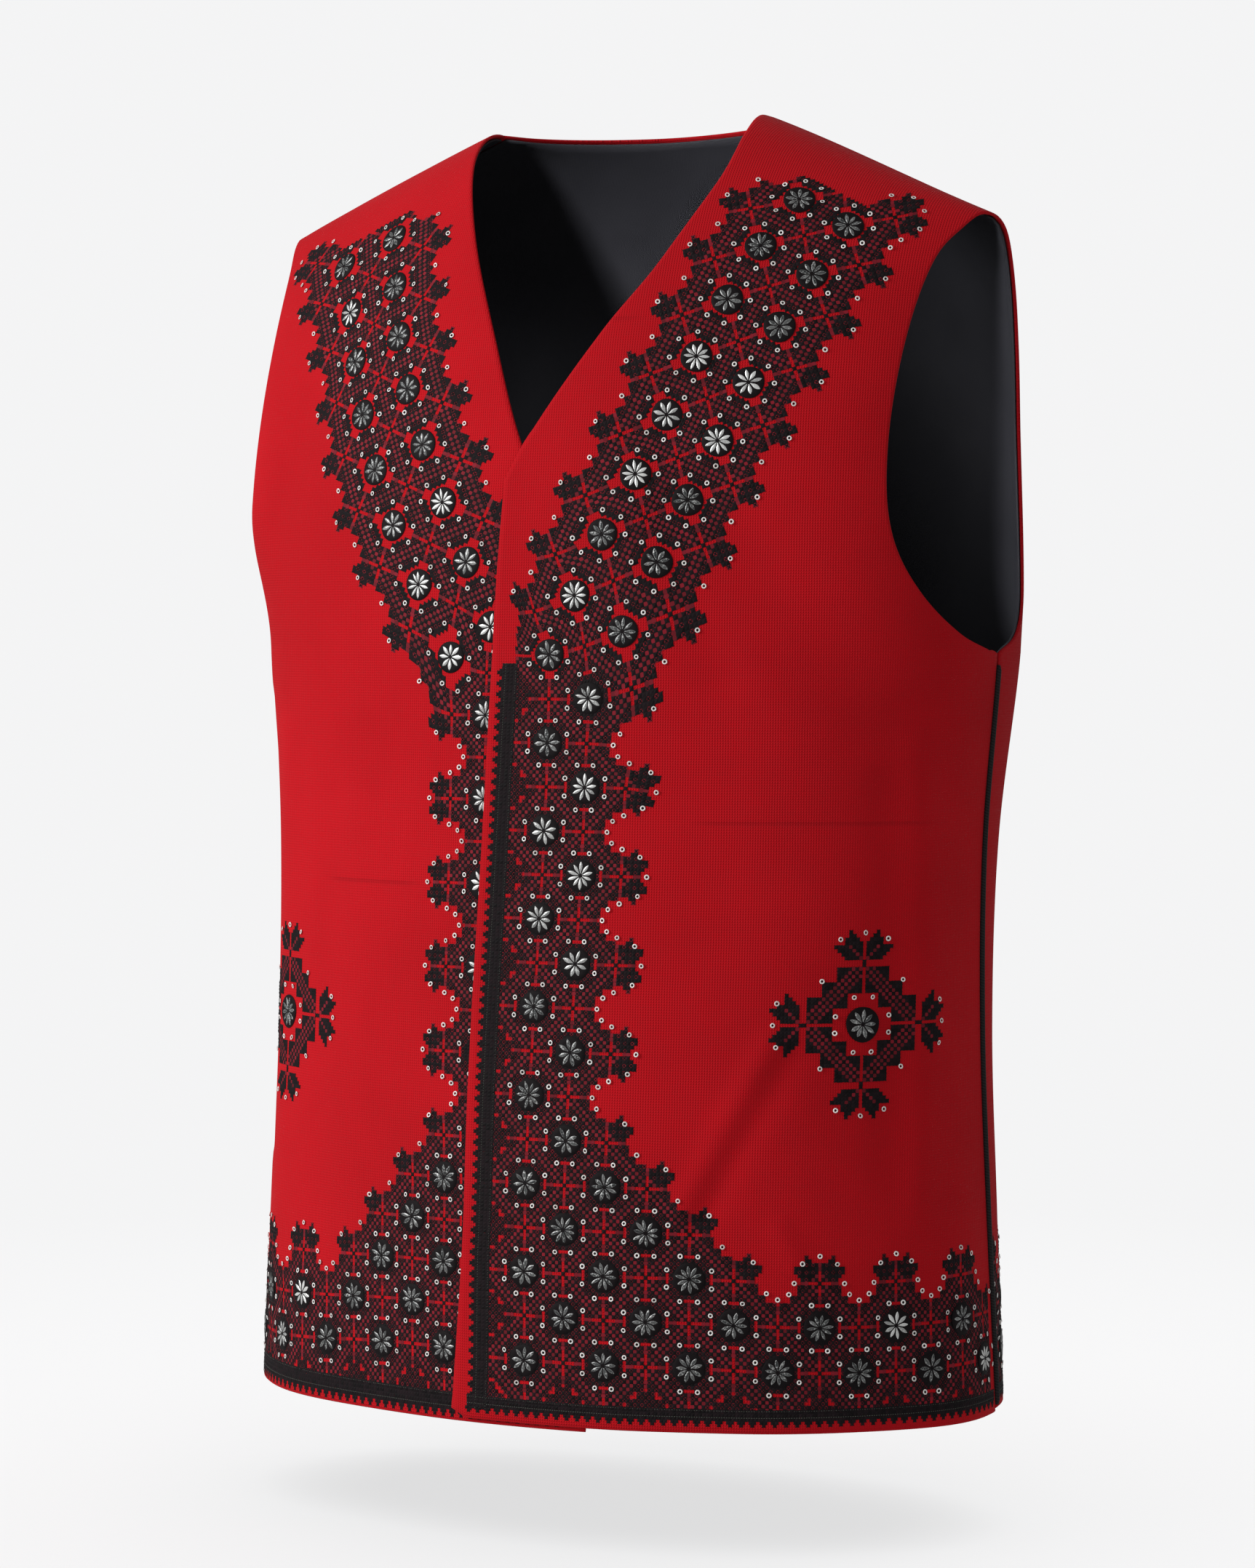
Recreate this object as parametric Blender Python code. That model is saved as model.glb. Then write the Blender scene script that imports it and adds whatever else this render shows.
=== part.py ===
import bpy
import bmesh
import numpy as np
from math import pi, radians

# Embroidered folk vest, worn shape, hollow. Metres, +Z up, the front faces -Y and the
# wearer's left is +X. Zero is where the shoulders of the wearer hold the vest: on the
# midline, at the height of the neck end of the shoulder seams.

# driving sizes
length_back = 0.641          # neck end of the shoulder seam down to the hem
underarm_height = 0.375      # underarm above the hem
shoulder_drop = 0.050        # neck end to outer end of the shoulder seam
left_neck_rise = 0.0035      # the left shoulder sits this much higher at the neck
neck_half_width = 0.0746     # half the distance between the neck ends
shoulder_half_width = 0.197  # half the distance between the outer ends
shoulder_line_y = 0.0053     # the shoulder seams stand this far behind the side seams
cloth_thickness = 0.0015
lining_thickness = 0.0010
layer_gap = 0.0003
lining_gap = 0.0004
lap_lift_height = 0.0034     # how far the upper front rides over the lower one
side_seam_angle = 92.0       # the side seams lie a little behind the widest line
right_side_slimmer = 0.0020
piping_half_width = 0.0014
piping_half_depth = 0.0011
lining_inset = 0.0014        # the lining stops this far inside the cloth's edge
yoke_front_power = 2.2       # roundness of the chest rolling over to the shoulder
yoke_back_power = 2.4
hem_wave = 0.0012            # depth of the slow waves the hem hangs in
stand_off = 0.0100           # the right armhole stands this far off the chest

# grid cells of a front and of the back
front_cells_across = 14
back_cells_across = 26
rows_up = 24

# half width, front depth, back depth and back roundness of the body at its levels:
# 0 is the hem, 1 the underarm, 2 the shoulder line
body_levels = [
    {"level": 0.00, "half_width": 0.2010, "front": 0.1240, "back": 0.1110, "back_power": 2.20},
    {"level": 0.25, "half_width": 0.1960, "front": 0.1240, "back": 0.1200, "back_power": 2.20},
    {"level": 0.50, "half_width": 0.1925, "front": 0.1190, "back": 0.1200, "back_power": 2.20},
    {"level": 0.75, "half_width": 0.1932, "front": 0.1130, "back": 0.1320, "back_power": 2.25},
    {"level": 1.00, "half_width": 0.1995, "front": 0.1090, "back": 0.1480, "back_power": 2.50},
    {"level": 1.50, "half_width": 0.2040, "front": 0.1070, "back": 0.1500, "back_power": 2.50},
    {"level": 2.00, "half_width": 0.2070, "front": 0.1000, "back": 0.1350, "back_power": 2.50},
]
front_power = 2.2

# neckline of each front: half width from the midline at a height above the hem
left_neckline = [
    {"x": -0.0125, "height": 0.4600},
    {"x": 0.0060, "height": 0.4910},
    {"x": 0.0340, "height": 0.5320},
    {"x": 0.0585, "height": 0.5680},
    {"x": 0.0770, "height": 0.6080},
    {"x": 0.0790, "height": 0.6330},
]
right_neckline = [
    {"x": 0.0120, "height": 0.4450},
    {"x": -0.0085, "height": 0.4820},
    {"x": -0.0265, "height": 0.5290},
    {"x": -0.0476, "height": 0.5780},
    {"x": -0.0630, "height": 0.6130},
    {"x": -0.0710, "height": 0.6320},
]
back_neck_height = 0.6412

# armhole: angle round the body from the centre front, at a height above the hem
front_armhole = [
    {"angle": 77.0, "height": 0.3850},
    {"angle": 65.0, "height": 0.4050},
    {"angle": 57.5, "height": 0.4340},
    {"angle": 55.5, "height": 0.4750},
    {"angle": 57.2, "height": 0.5290},
    {"angle": 61.0, "height": 0.5700},
    {"angle": 66.5, "height": 0.5860},
]
right_front_armhole = [
    {"angle": 81.0, "height": 0.3850},
    {"angle": 74.0, "height": 0.4040},
    {"angle": 68.5, "height": 0.4320},
    {"angle": 66.0, "height": 0.4750},
    {"angle": 65.5, "height": 0.5290},
    {"angle": 67.0, "height": 0.5700},
    {"angle": 69.5, "height": 0.5860},
]
back_armhole = [
    {"angle": 103.0, "height": 0.3860},
    {"angle": 113.0, "height": 0.4080},
    {"angle": 118.0, "height": 0.4420},
    {"angle": 119.0, "height": 0.4850},
    {"angle": 114.5, "height": 0.5320},
    {"angle": 110.0, "height": 0.5700},
    {"angle": 108.0, "height": 0.5860},
]

# front edges: distance past the midline at a height above the hem
left_front_edge = [
    {"x": -0.0320, "height": 0.0000},
    {"x": -0.0254, "height": 0.0850},
    {"x": -0.0244, "height": 0.1600},
    {"x": -0.0222, "height": 0.2400},
    {"x": -0.0180, "height": 0.3500},
    {"x": -0.0135, "height": 0.4400},
]
right_front_edge = [
    {"x": 0.0395, "height": 0.0000},
    {"x": 0.0340, "height": 0.1100},
    {"x": 0.0290, "height": 0.2500},
    {"x": 0.0240, "height": 0.3600},
    {"x": 0.0180, "height": 0.4200},
]


def column(rows, name):
    return np.array([row[name] for row in rows], float)


# cubic curve through the stations xs, ys, its slopes taken from the neighbours
def smooth_line(x, xs, ys):
    xs = np.asarray(xs, float)
    ys = np.asarray(ys, float)
    slope = np.gradient(ys, xs)
    x = np.clip(x, xs[0], xs[-1])
    k = np.clip(np.searchsorted(xs, x, side="right") - 1, 0, len(xs) - 2)
    width = xs[k + 1] - xs[k]
    s = (x - xs[k]) / width
    start = (2 * s**3 - 3 * s**2 + 1) * ys[k] + (s**3 - 2 * s**2 + s) * width * slope[k]
    end = (3 * s**2 - 2 * s**3) * ys[k + 1] + (s**3 - s**2) * width * slope[k + 1]
    return start + end


def level_value(level, name):
    return smooth_line(level, column(body_levels, "level"), column(body_levels, name))


def ease(x, low, high):
    s = np.clip((x - low) / (high - low), 0.0, 1.0)
    return s * s * (3 - 2 * s)


# height of the shoulder line over a point x of the midline
def shoulder_height(x):
    soft = np.sqrt(x * x + 0.03**2) - np.hypot(neck_half_width, 0.03)
    reach = soft / (np.hypot(shoulder_half_width, 0.03) - np.hypot(neck_half_width, 0.03))
    rise = left_neck_rise * ease(x, 0.0, 0.05) * (1 - ease(x, neck_half_width, 0.19))
    return length_back + rise - shoulder_drop * reach


# slow waves of the hem, dying out towards the chest
def wave(angle, level):
    fade = 1 - ease(level, 0.0, 0.8)
    return hem_wave * fade * (np.sin(5 * angle + 0.6) + 0.6 * np.sin(9 * angle + 2.0))


# the right front stands off the chest at its armhole
def stand_away(angle, level):
    turn = np.where(angle > pi, angle - 2 * pi, angle)
    near = np.exp(-((turn + radians(70)) / radians(17)) ** 2)
    return stand_off * near * ease(level, 1.0, 1.2) * (1 - ease(level, 1.15, 1.75))


# point of the worn form: angle 0 is the centre front, 90 degrees the left side seam;
# level 0 is the hem, 1 the underarm and 2 the shoulder line
def form_point(angle, level):
    angle, level = np.broadcast_arrays(np.asarray(angle, float), np.asarray(level, float))
    c = np.cos(angle)
    s = np.sin(angle)
    slimmer = right_side_slimmer * ease(-s, 0.0, 0.8)
    half_width = level_value(level, "half_width") - slimmer
    in_front = c > 0
    power = np.where(in_front, front_power, level_value(level, "back_power"))
    depth = np.where(in_front, level_value(level, "front"), level_value(level, "back"))
    swell = 1 + wave(angle, level) / 0.15
    x = half_width * swell * np.sign(s) * np.abs(s) ** (2 / power)
    roll = np.clip(level - 1, 0, 1) * pi / 2
    yoke = np.where(in_front, yoke_front_power, yoke_back_power)
    rise = np.sin(roll) ** (2 / yoke)
    fall = np.abs(np.cos(roll)) ** (2 / yoke)
    y = -np.sign(c) * depth * swell * np.abs(c) ** (2 / power) * fall
    y = y + shoulder_line_y * ease(level, 1.0, 2.0)
    away = np.where(in_front, stand_away(angle, level), 0.0)
    x = x - away * 0.80
    y = y - away * 0.60
    upper = underarm_height + rise * (shoulder_height(x) - underarm_height)
    z = np.where(level <= 1, level * underarm_height, upper) - length_back
    return np.stack([x, y, z], -1)


def form_normal(angle, level):
    step = 1e-4
    low = np.clip(level - step, 0.0, 1.9995)
    high = np.clip(level + step, 0.0, 1.9995)
    across = form_point(angle + step, level) - form_point(angle - step, level)
    along = form_point(angle, high) - form_point(angle, low)
    n = np.cross(across, along)
    return n / np.linalg.norm(n, axis=-1, keepdims=True)


# level of a point at distance x from the midline and a height above the hem
def level_at(x, height, in_front=True):
    yoke = yoke_front_power if in_front else yoke_back_power
    rise = (height - underarm_height) / (shoulder_height(x) - underarm_height)
    roll = np.arcsin(np.clip(rise, 0, 1) ** (yoke / 2))
    return np.where(height <= underarm_height, height / underarm_height, 1 + roll / (pi / 2))


def angle_at(x, level, in_front=True):
    power = front_power if in_front else level_value(level, "back_power")
    share = np.clip(np.abs(x) / level_value(level, "half_width"), 0, 1)
    angle = np.arcsin(share ** (power / 2)) * np.sign(x)
    return angle if in_front else pi * np.where(x >= 0, 1, -1) - angle


# curve through points of the angle-level plane, cut into equal lengths on the form
def even_curve(angles, levels, count):
    s = np.linspace(0, 1, len(angles))
    fine = np.linspace(0, 1, 400)
    a = smooth_line(fine, s, angles)
    t = smooth_line(fine, s, levels)
    step = np.linalg.norm(np.diff(form_point(a, t), axis=0), axis=1)
    way = np.concatenate([[0], np.cumsum(step)])
    want = np.linspace(0, way[-1], count)
    return np.interp(want, way, a), np.interp(want, way, t)


# four border curves filled in: every inner point blends the borders
def filled(left, right, bottom, top):
    v = np.linspace(0, 1, len(left))[:, None]
    u = np.linspace(0, 1, len(bottom))[None, :]
    sides = (1 - u) * left[:, None] + u * right[:, None]
    ends = (1 - v) * bottom[None, :] + v * top[None, :]
    corners = ((1 - u) * (1 - v) * bottom[0] + u * (1 - v) * bottom[-1]
               + (1 - u) * v * top[0] + u * v * top[-1])
    return sides + ends - corners


top_level = 1.9985           # the walls stop just short of the shoulder line


# angle of the side edge at a level: a piping and a gap away from the side seam
def side_angle(level, in_front):
    seam = radians(side_seam_angle)
    keep = piping_half_width + layer_gap
    near = form_point(seam + 0.02, level) - form_point(seam - 0.02, level)
    turn = 0.04 * keep / np.linalg.norm(near, axis=-1)
    return seam - turn if in_front else seam + turn


# side border of a panel: seam up to the underarm, then the armhole up to the shoulder
def side_border(in_front, table, rows_seam, rows_hole):
    levels = np.linspace(0, 1, rows_seam + 1)
    angles = side_angle(levels, in_front)
    hole_angle = np.radians(column(table, "angle"))
    share = np.abs(np.sin(hole_angle))
    x = level_value(1.4, "half_width") * share ** (2 / front_power)
    hole_level = level_at(x, column(table, "height"), in_front)
    tip = angle_at(shoulder_half_width, 2.0, in_front)
    hole_angle = np.concatenate([[angles[-1]], hole_angle, [tip]])
    hole_level = np.concatenate([[1.0], hole_level, [top_level]])
    a, t = even_curve(hole_angle, hole_level, rows_hole + 1)
    return np.concatenate([angles, a[1:]]), np.concatenate([levels, t[1:]])


# centre border of a front: its edge up to the neckline, then the neckline
def centre_border(edge, neckline, side, rows_edge, rows_neck):
    x = np.concatenate([column(edge, "x"), column(neckline, "x")[:1]])
    h = np.concatenate([column(edge, "height"), column(neckline, "height")[:1]])
    levels = level_at(x, h)
    a, t = even_curve(angle_at(x, levels), levels, rows_edge + 1)
    nx = column(neckline, "x")
    nl = level_at(nx, column(neckline, "height"))
    na = angle_at(nx, nl)
    end = angle_at(side * neck_half_width, 2.0)
    na = np.concatenate([na, [end]])
    nl = np.concatenate([nl, [top_level]])
    b, u = even_curve(na, nl, rows_neck + 1)
    return np.concatenate([a, b[1:]]), np.concatenate([t, u[1:]])


# angle and level of every grid point of a front; side is +1 for the left one
def front_grid(side, across=front_cells_across, rows=rows_up):
    seam = round(rows * 0.5)
    edge = round(rows * 0.66)
    hole = front_armhole if side > 0 else right_front_armhole
    sa, sl = side_border(True, hole, seam, rows - seam)
    table = left_front_edge if side > 0 else right_front_edge
    neck = left_neckline if side > 0 else right_neckline
    ca, cl = centre_border(table, neck, side, edge, rows - edge)
    u = np.linspace(0, 1, across + 1)
    hem_level = np.zeros(across + 1)
    hem_angle = ca[0] + (side * sa[0] - ca[0]) * u
    top_angle = ca[-1] + (side * sa[-1] - ca[-1]) * u
    angle = filled(ca, side * sa, hem_angle, top_angle)
    level = filled(cl, sl, hem_level, np.full(across + 1, top_level))
    return angle, level


# the back runs from the right side seam to the left one
def back_grid(across=back_cells_across, rows=rows_up):
    seam = round(rows * 0.5)
    sa, sl = side_border(False, back_armhole, seam, rows - seam)
    half = across // 2
    sh = round(half * 0.54) / half      # share of the row that lies under the shoulder seam
    w = np.linspace(0, 1, half + 1)
    sheets = []
    for side in (-1, 1):
        tip = sa[-1]
        neck = angle_at(neck_half_width, 2.0, False)
        on_seam = w <= sh
        s = np.clip(w / sh, 0, 1)
        n = np.clip((w - sh) / (1 - sh), 0, 1)
        nx = neck_half_width * (1 - n)
        rise = 0.0035 * np.where(side > 0, 1 - n * 0.5, n * 0.5)
        nl = np.minimum(level_at(side * nx, back_neck_height + rise, False), top_level)
        na = np.abs(angle_at(nx, nl, False))
        top_angle = np.where(on_seam, tip + (neck - tip) * s, na)
        top_level_row = np.where(on_seam, top_level, nl)
        hem_angle = sa[0] + (pi - sa[0]) * w
        centre_angle = np.full(rows + 1, pi)
        centre_level = top_level_row[-1] * np.linspace(0, 1, rows + 1)
        angle = filled(sa, centre_angle, hem_angle, top_angle)
        level = filled(sl, centre_level, np.zeros(half + 1), top_level_row)
        sheets.append((angle, level))
    right, left = sheets
    angle = np.concatenate([2 * pi - right[0], left[0][:, -2::-1]], axis=1)
    level = np.concatenate([right[1], left[1][:, -2::-1]], axis=1)
    return angle, level


# how far a point of the left front rides over the right front beneath it
def lap_lift(point):
    low = 1 - ease(point[..., 2] + length_back, 0.51, 0.60)
    return lap_lift_height * (1 - ease(point[..., 0], 0.048, 0.110)) * low


# outer and inner points of a wall between two distances from the form
def wall(angle, level, inner, outer, lifted, hem_drop=0.0):
    base = form_point(angle, level)
    normal = form_normal(angle, level)
    if lifted:
        base = base + normal * lap_lift(base)[..., None]
    low = hem_drop * np.clip(1 - level / 0.12, 0, 1)
    base = base - np.stack([0 * low, 0 * low, low], -1)
    return base + normal * inner, base + normal * outer


# every border point slides towards its inner neighbour by a distance
def inset(points, distance):
    p = points.copy()

    def slide(edge, inside):
        way = inside - edge
        return edge + way / np.linalg.norm(way, axis=-1, keepdims=True) * distance

    p[0] = slide(p[0], p[1])
    p[-1] = slide(p[-1], p[-2])
    p[:, 0] = slide(p[:, 0], p[:, 1])
    p[:, -1] = slide(p[:, -1], p[:, -2])
    return p


def new_collection(name):
    col = bpy.data.collections.new(name)
    bpy.context.scene.collection.children.link(col)
    return col


def new_material(name, colour, roughness, sheen=0.0):
    mat = bpy.data.materials.new(name)
    mat.use_nodes = True
    shader = mat.node_tree.nodes["Principled BSDF"]
    shader.inputs["Base Color"].default_value = colour
    shader.inputs["Roughness"].default_value = roughness
    shader.inputs["Sheen Weight"].default_value = sheen
    return mat


def put_mesh(name, verts, faces, material, col):
    mesh = bpy.data.meshes.new(name)
    mesh.from_pydata([tuple(map(float, v)) for v in verts], [], faces)
    bm = bmesh.new()
    bm.from_mesh(mesh)
    bmesh.ops.recalc_face_normals(bm, faces=bm.faces)
    bm.to_mesh(mesh)
    bm.free()
    mesh.materials.append(material)
    obj = bpy.data.objects.new(name, mesh)
    col.objects.link(obj)
    return obj


# which diagonal of each grid cell is the shorter one
def short_diagonals(angle, level):
    p = form_point(angle, level)
    rising = np.linalg.norm(p[1:, 1:] - p[:-1, :-1], axis=-1)
    falling = np.linalg.norm(p[1:, :-1] - p[:-1, 1:], axis=-1)
    return rising <= falling


# closed wall: outer grid, inner grid and a rim between them
def wall_solid(name, inner, outer, rising, material, col):
    rows, cols = outer.shape[:2]
    verts = np.concatenate([outer.reshape(-1, 3), inner.reshape(-1, 3)])
    shift = rows * cols
    faces = []
    for j in range(rows - 1):
        for i in range(cols - 1):
            a = j * cols + i
            b = a + 1
            c = b + cols
            d = a + cols
            cell = [(a, b, c), (a, c, d)] if rising[j, i] else [(a, b, d), (b, c, d)]
            for p, q, r in cell:
                faces.append((p, q, r))
                faces.append((r + shift, q + shift, p + shift))
    bottom = [i for i in range(cols)]
    right = [j * cols + cols - 1 for j in range(1, rows)]
    top = [(rows - 1) * cols + i for i in range(cols - 2, -1, -1)]
    left = [j * cols for j in range(rows - 2, 0, -1)]
    ring = bottom + right + top + left
    for k, a in enumerate(ring):
        b = ring[(k + 1) % len(ring)]
        faces.append((b, a, a + shift, b + shift))
    return put_mesh(name, verts, faces, material, col)


# black cord let into a side seam, from the hem to the underarm
def side_piping(name, side, material, col):
    levels = np.linspace(0.004, 0.985, 21)
    angle = np.full(levels.shape, side * radians(side_seam_angle))
    centre = form_point(angle, levels)
    out = form_normal(angle, levels)
    up = np.gradient(centre, axis=0)
    along = np.cross(up, out)
    along = along / np.linalg.norm(along, axis=-1, keepdims=True)
    centre = centre + out * cloth_thickness / 2
    turn = np.linspace(0, 2 * pi, 8, endpoint=False)
    rings = (centre[:, None] + out[:, None] * (piping_half_depth * np.cos(turn))[None, :, None]
             + along[:, None] * (piping_half_width * np.sin(turn))[None, :, None])
    count = len(turn)
    verts = rings.reshape(-1, 3)
    faces = []
    for j in range(len(levels) - 1):
        for i in range(count):
            k = (i + 1) % count
            faces.append((j * count + i, j * count + k, (j + 1) * count + k, (j + 1) * count + i))
    faces.append(tuple(range(count - 1, -1, -1)))
    faces.append(tuple((len(levels) - 1) * count + i for i in range(count)))
    return put_mesh(name, verts, faces, material, col)


def build():
    for obj in list(bpy.data.objects):
        bpy.data.objects.remove(obj, do_unlink=True)
    col = new_collection("embroidered_folk_vest")
    red_left = new_material("left_front_cloth", (0.56, 0.008, 0.018, 1), 0.85, 0.3)
    red_right = new_material("right_front_cloth", (0.60, 0.010, 0.020, 1), 0.85, 0.3)
    red_back = new_material("back_cloth", (0.52, 0.008, 0.016, 1), 0.85, 0.3)
    black_left = new_material("left_front_lining", (0.010, 0.010, 0.014, 1), 0.55)
    black_right = new_material("right_front_lining", (0.011, 0.010, 0.014, 1), 0.55)
    black_back = new_material("back_lining", (0.013, 0.013, 0.018, 1), 0.55)
    cord_left = new_material("left_piping", (0.008, 0.008, 0.009, 1), 0.6)
    cord_right = new_material("right_piping", (0.008, 0.008, 0.010, 1), 0.6)
    lining_outer = -lining_gap
    lining_inner = -lining_gap - lining_thickness

    pieces = [
        ("left_front", front_grid(1), True, 0.0015, red_left, black_left),
        ("right_front", front_grid(-1), False, 0.0040, red_right, black_right),
        ("back", back_grid(), False, 0.0, red_back, black_back),
    ]
    for name, (angle, level), lifted, drop, cloth, lining in pieces:
        rising = short_diagonals(angle, level)
        inner, outer = wall(angle, level, 0.0, cloth_thickness, lifted, drop)
        wall_solid(name, inner, outer, rising, cloth, col)
        low, high = wall(angle, level, lining_inner, lining_outer, lifted, drop)
        low = inset(low, lining_inset)
        high = inset(high, lining_inset)
        wall_solid(name + "_lining", low, high, rising, lining, col)

    side_piping("left_side_piping", 1, cord_left, col)
    side_piping("right_side_piping", -1, cord_right, col)


build()
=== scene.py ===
from math import cos, pi, radians, sin

import bpy
import numpy as np
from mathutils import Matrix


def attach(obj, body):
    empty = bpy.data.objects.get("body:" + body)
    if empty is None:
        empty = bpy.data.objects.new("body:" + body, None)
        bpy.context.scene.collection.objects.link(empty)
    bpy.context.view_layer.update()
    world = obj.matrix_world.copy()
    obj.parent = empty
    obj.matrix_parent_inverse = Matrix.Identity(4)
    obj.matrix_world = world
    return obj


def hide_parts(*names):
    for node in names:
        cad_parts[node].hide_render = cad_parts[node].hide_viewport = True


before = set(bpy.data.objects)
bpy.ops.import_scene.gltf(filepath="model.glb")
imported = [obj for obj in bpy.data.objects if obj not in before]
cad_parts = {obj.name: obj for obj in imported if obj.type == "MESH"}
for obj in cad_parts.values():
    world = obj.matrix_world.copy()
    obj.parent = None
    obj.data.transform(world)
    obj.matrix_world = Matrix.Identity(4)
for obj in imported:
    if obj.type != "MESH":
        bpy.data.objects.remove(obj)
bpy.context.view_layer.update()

# Embroidered folk vest: woven cloth, linings, side pipings, cross stitch worked from a chart,
# petal rosettes and ring sequins. Metres, as in the CAD frame: +Z up, the front faces -Y.

random = np.random.default_rng(24)
print("frame loaded:", sorted(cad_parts))

# worn form, with the sizes of the CAD source
form = {
    "lengthBack": 0.641, "underarm": 0.375, "shoulderDrop": 0.050, "leftNeckRise": 0.0035,
    "neckHalf": 0.0746, "shoulderHalf": 0.197, "shoulderLineY": 0.0053, "seamAngle": 92.0,
    "rightSlimmer": 0.0020, "frontPower": 2.2, "yokeFront": 2.2, "yokeBack": 2.4,
    "hemWave": 0.0012, "standOff": 0.0100, "topLevel": 1.9985, "lapLift": 0.0034,
    "cloth": 0.0015, "lining": 0.0010, "liningGap": 0.0004, "liningInset": 0.0014,
    "pipingWide": 0.0014, "layerGap": 0.0003,
}
bodyLevels = {
    "level": [0.0, 0.25, 0.5, 0.75, 1.0, 1.5, 2.0],
    "halfWidth": [0.2010, 0.1960, 0.1925, 0.1932, 0.1995, 0.2040, 0.2070],
    "front": [0.1240, 0.1240, 0.1190, 0.1130, 0.1090, 0.1070, 0.1000],
    "back": [0.1110, 0.1200, 0.1200, 0.1320, 0.1480, 0.1500, 0.1350],
    "backPower": [2.20, 2.20, 2.20, 2.25, 2.50, 2.50, 2.50],
}
neckline = {
    1: [(-0.0125, 0.4600), (0.0060, 0.4910), (0.0340, 0.5320), (0.0585, 0.5680), (0.0770, 0.6080),
        (0.0790, 0.6330)],
    -1: [(0.0120, 0.4450), (-0.0085, 0.4820), (-0.0265, 0.5290), (-0.0476, 0.5780),
         (-0.0630, 0.6130), (-0.0710, 0.6320)],
}
frontEdge = {
    1: [(-0.0320, 0.0), (-0.0254, 0.085), (-0.0244, 0.160), (-0.0222, 0.240), (-0.0180, 0.350),
        (-0.0135, 0.440)],
    -1: [(0.0395, 0.0), (0.0340, 0.110), (0.0290, 0.250), (0.0240, 0.360), (0.0180, 0.420)],
}
armhole = {
    1: [(77.0, 0.385), (65.0, 0.405), (57.5, 0.434), (55.5, 0.475), (57.2, 0.529), (61.0, 0.570),
        (66.5, 0.586)],
    -1: [(81.0, 0.385), (74.0, 0.404), (68.5, 0.432), (66.0, 0.475), (65.5, 0.529), (67.0, 0.570),
         (69.5, 0.586)],
    0: [(103.0, 0.386), (113.0, 0.408), (118.0, 0.442), (119.0, 0.485), (114.5, 0.532),
        (110.0, 0.570), (108.0, 0.586)],
}
backNeckHeight = 0.6412


def smoothLine(x, xs, ys):
    # cubic through the stations, slopes from the neighbours; past the ends it stays level
    xs, ys = np.asarray(xs, float), np.asarray(ys, float)
    slope = np.gradient(ys, xs)
    x = np.clip(x, xs[0], xs[-1])
    k = np.clip(np.searchsorted(xs, x, side="right") - 1, 0, len(xs) - 2)
    width = xs[k + 1] - xs[k]
    s = (x - xs[k]) / width
    start = (2 * s**3 - 3 * s**2 + 1) * ys[k] + (s**3 - 2 * s**2 + s) * width * slope[k]
    end = (3 * s**2 - 2 * s**3) * ys[k + 1] + (s**3 - s**2) * width * slope[k + 1]
    return start + end


def levelValue(level, name):
    # cubic through one row of bodyLevels
    return smoothLine(level, bodyLevels["level"], bodyLevels[name])


def ease(x, low, high):
    # s squared times (3 - 2s), from 0 at low to 1 at high
    s = np.clip((x - low) / (high - low), 0.0, 1.0)
    return s * s * (3 - 2 * s)


def unit(v):
    # each vector over its own length
    return v / np.linalg.norm(v, axis=-1, keepdims=True)


def shoulderHeight(x):
    # a softened |x| runs from the neck end down to the outer end
    near, far = np.hypot(form["neckHalf"], 0.03), np.hypot(form["shoulderHalf"], 0.03)
    reach = (np.sqrt(x * x + 0.03**2) - near) / (far - near)
    rise = form["leftNeckRise"] * ease(x, 0.0, 0.05) * (1 - ease(x, form["neckHalf"], 0.19))
    return form["lengthBack"] + rise - form["shoulderDrop"] * reach


def formPoint(angle, level):
    # superellipse rings, rolled over above the underarm towards the shoulder line
    angle, level = np.broadcast_arrays(np.asarray(angle, float), np.asarray(level, float))
    c, s = np.cos(angle), np.sin(angle)
    inFront = c > 0
    halfWidth = levelValue(level, "halfWidth") - form["rightSlimmer"] * ease(-s, 0.0, 0.8)
    power = np.where(inFront, form["frontPower"], levelValue(level, "backPower"))
    depth = np.where(inFront, levelValue(level, "front"), levelValue(level, "back"))
    wave = form["hemWave"] * (1 - ease(level, 0.0, 0.8))
    swell = 1 + wave * (np.sin(5 * angle + 0.6) + 0.6 * np.sin(9 * angle + 2.0)) / 0.15
    x = halfWidth * swell * np.sign(s) * np.abs(s) ** (2 / power)
    roll = np.clip(level - 1, 0, 1) * pi / 2
    yoke = np.where(inFront, form["yokeFront"], form["yokeBack"])
    rise, fall = np.sin(roll) ** (2 / yoke), np.abs(np.cos(roll)) ** (2 / yoke)
    y = -np.sign(c) * depth * swell * np.abs(c) ** (2 / power) * fall
    y = y + form["shoulderLineY"] * ease(level, 1.0, 2.0)
    turn = np.where(angle > pi, angle - 2 * pi, angle)
    near = np.exp(-((turn + radians(70)) / radians(17)) ** 2)
    away = form["standOff"] * near * ease(level, 1.0, 1.2) * (1 - ease(level, 1.15, 1.75))
    away = np.where(inFront, away, 0.0)
    x, y = x - away * 0.80, y - away * 0.60
    upper = form["underarm"] + rise * (shoulderHeight(x) - form["underarm"])
    z = np.where(level <= 1, level * form["underarm"], upper) - form["lengthBack"]
    return np.stack([x, y, z], -1)


def formNormal(angle, level):
    # cross product of the steps round and up the form
    step = 1e-4
    low, high = np.clip(level - step, 0.0, 1.9995), np.clip(level + step, 0.0, 1.9995)
    across = formPoint(angle + step, level) - formPoint(angle - step, level)
    return unit(np.cross(across, formPoint(angle, high) - formPoint(angle, low)))


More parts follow.
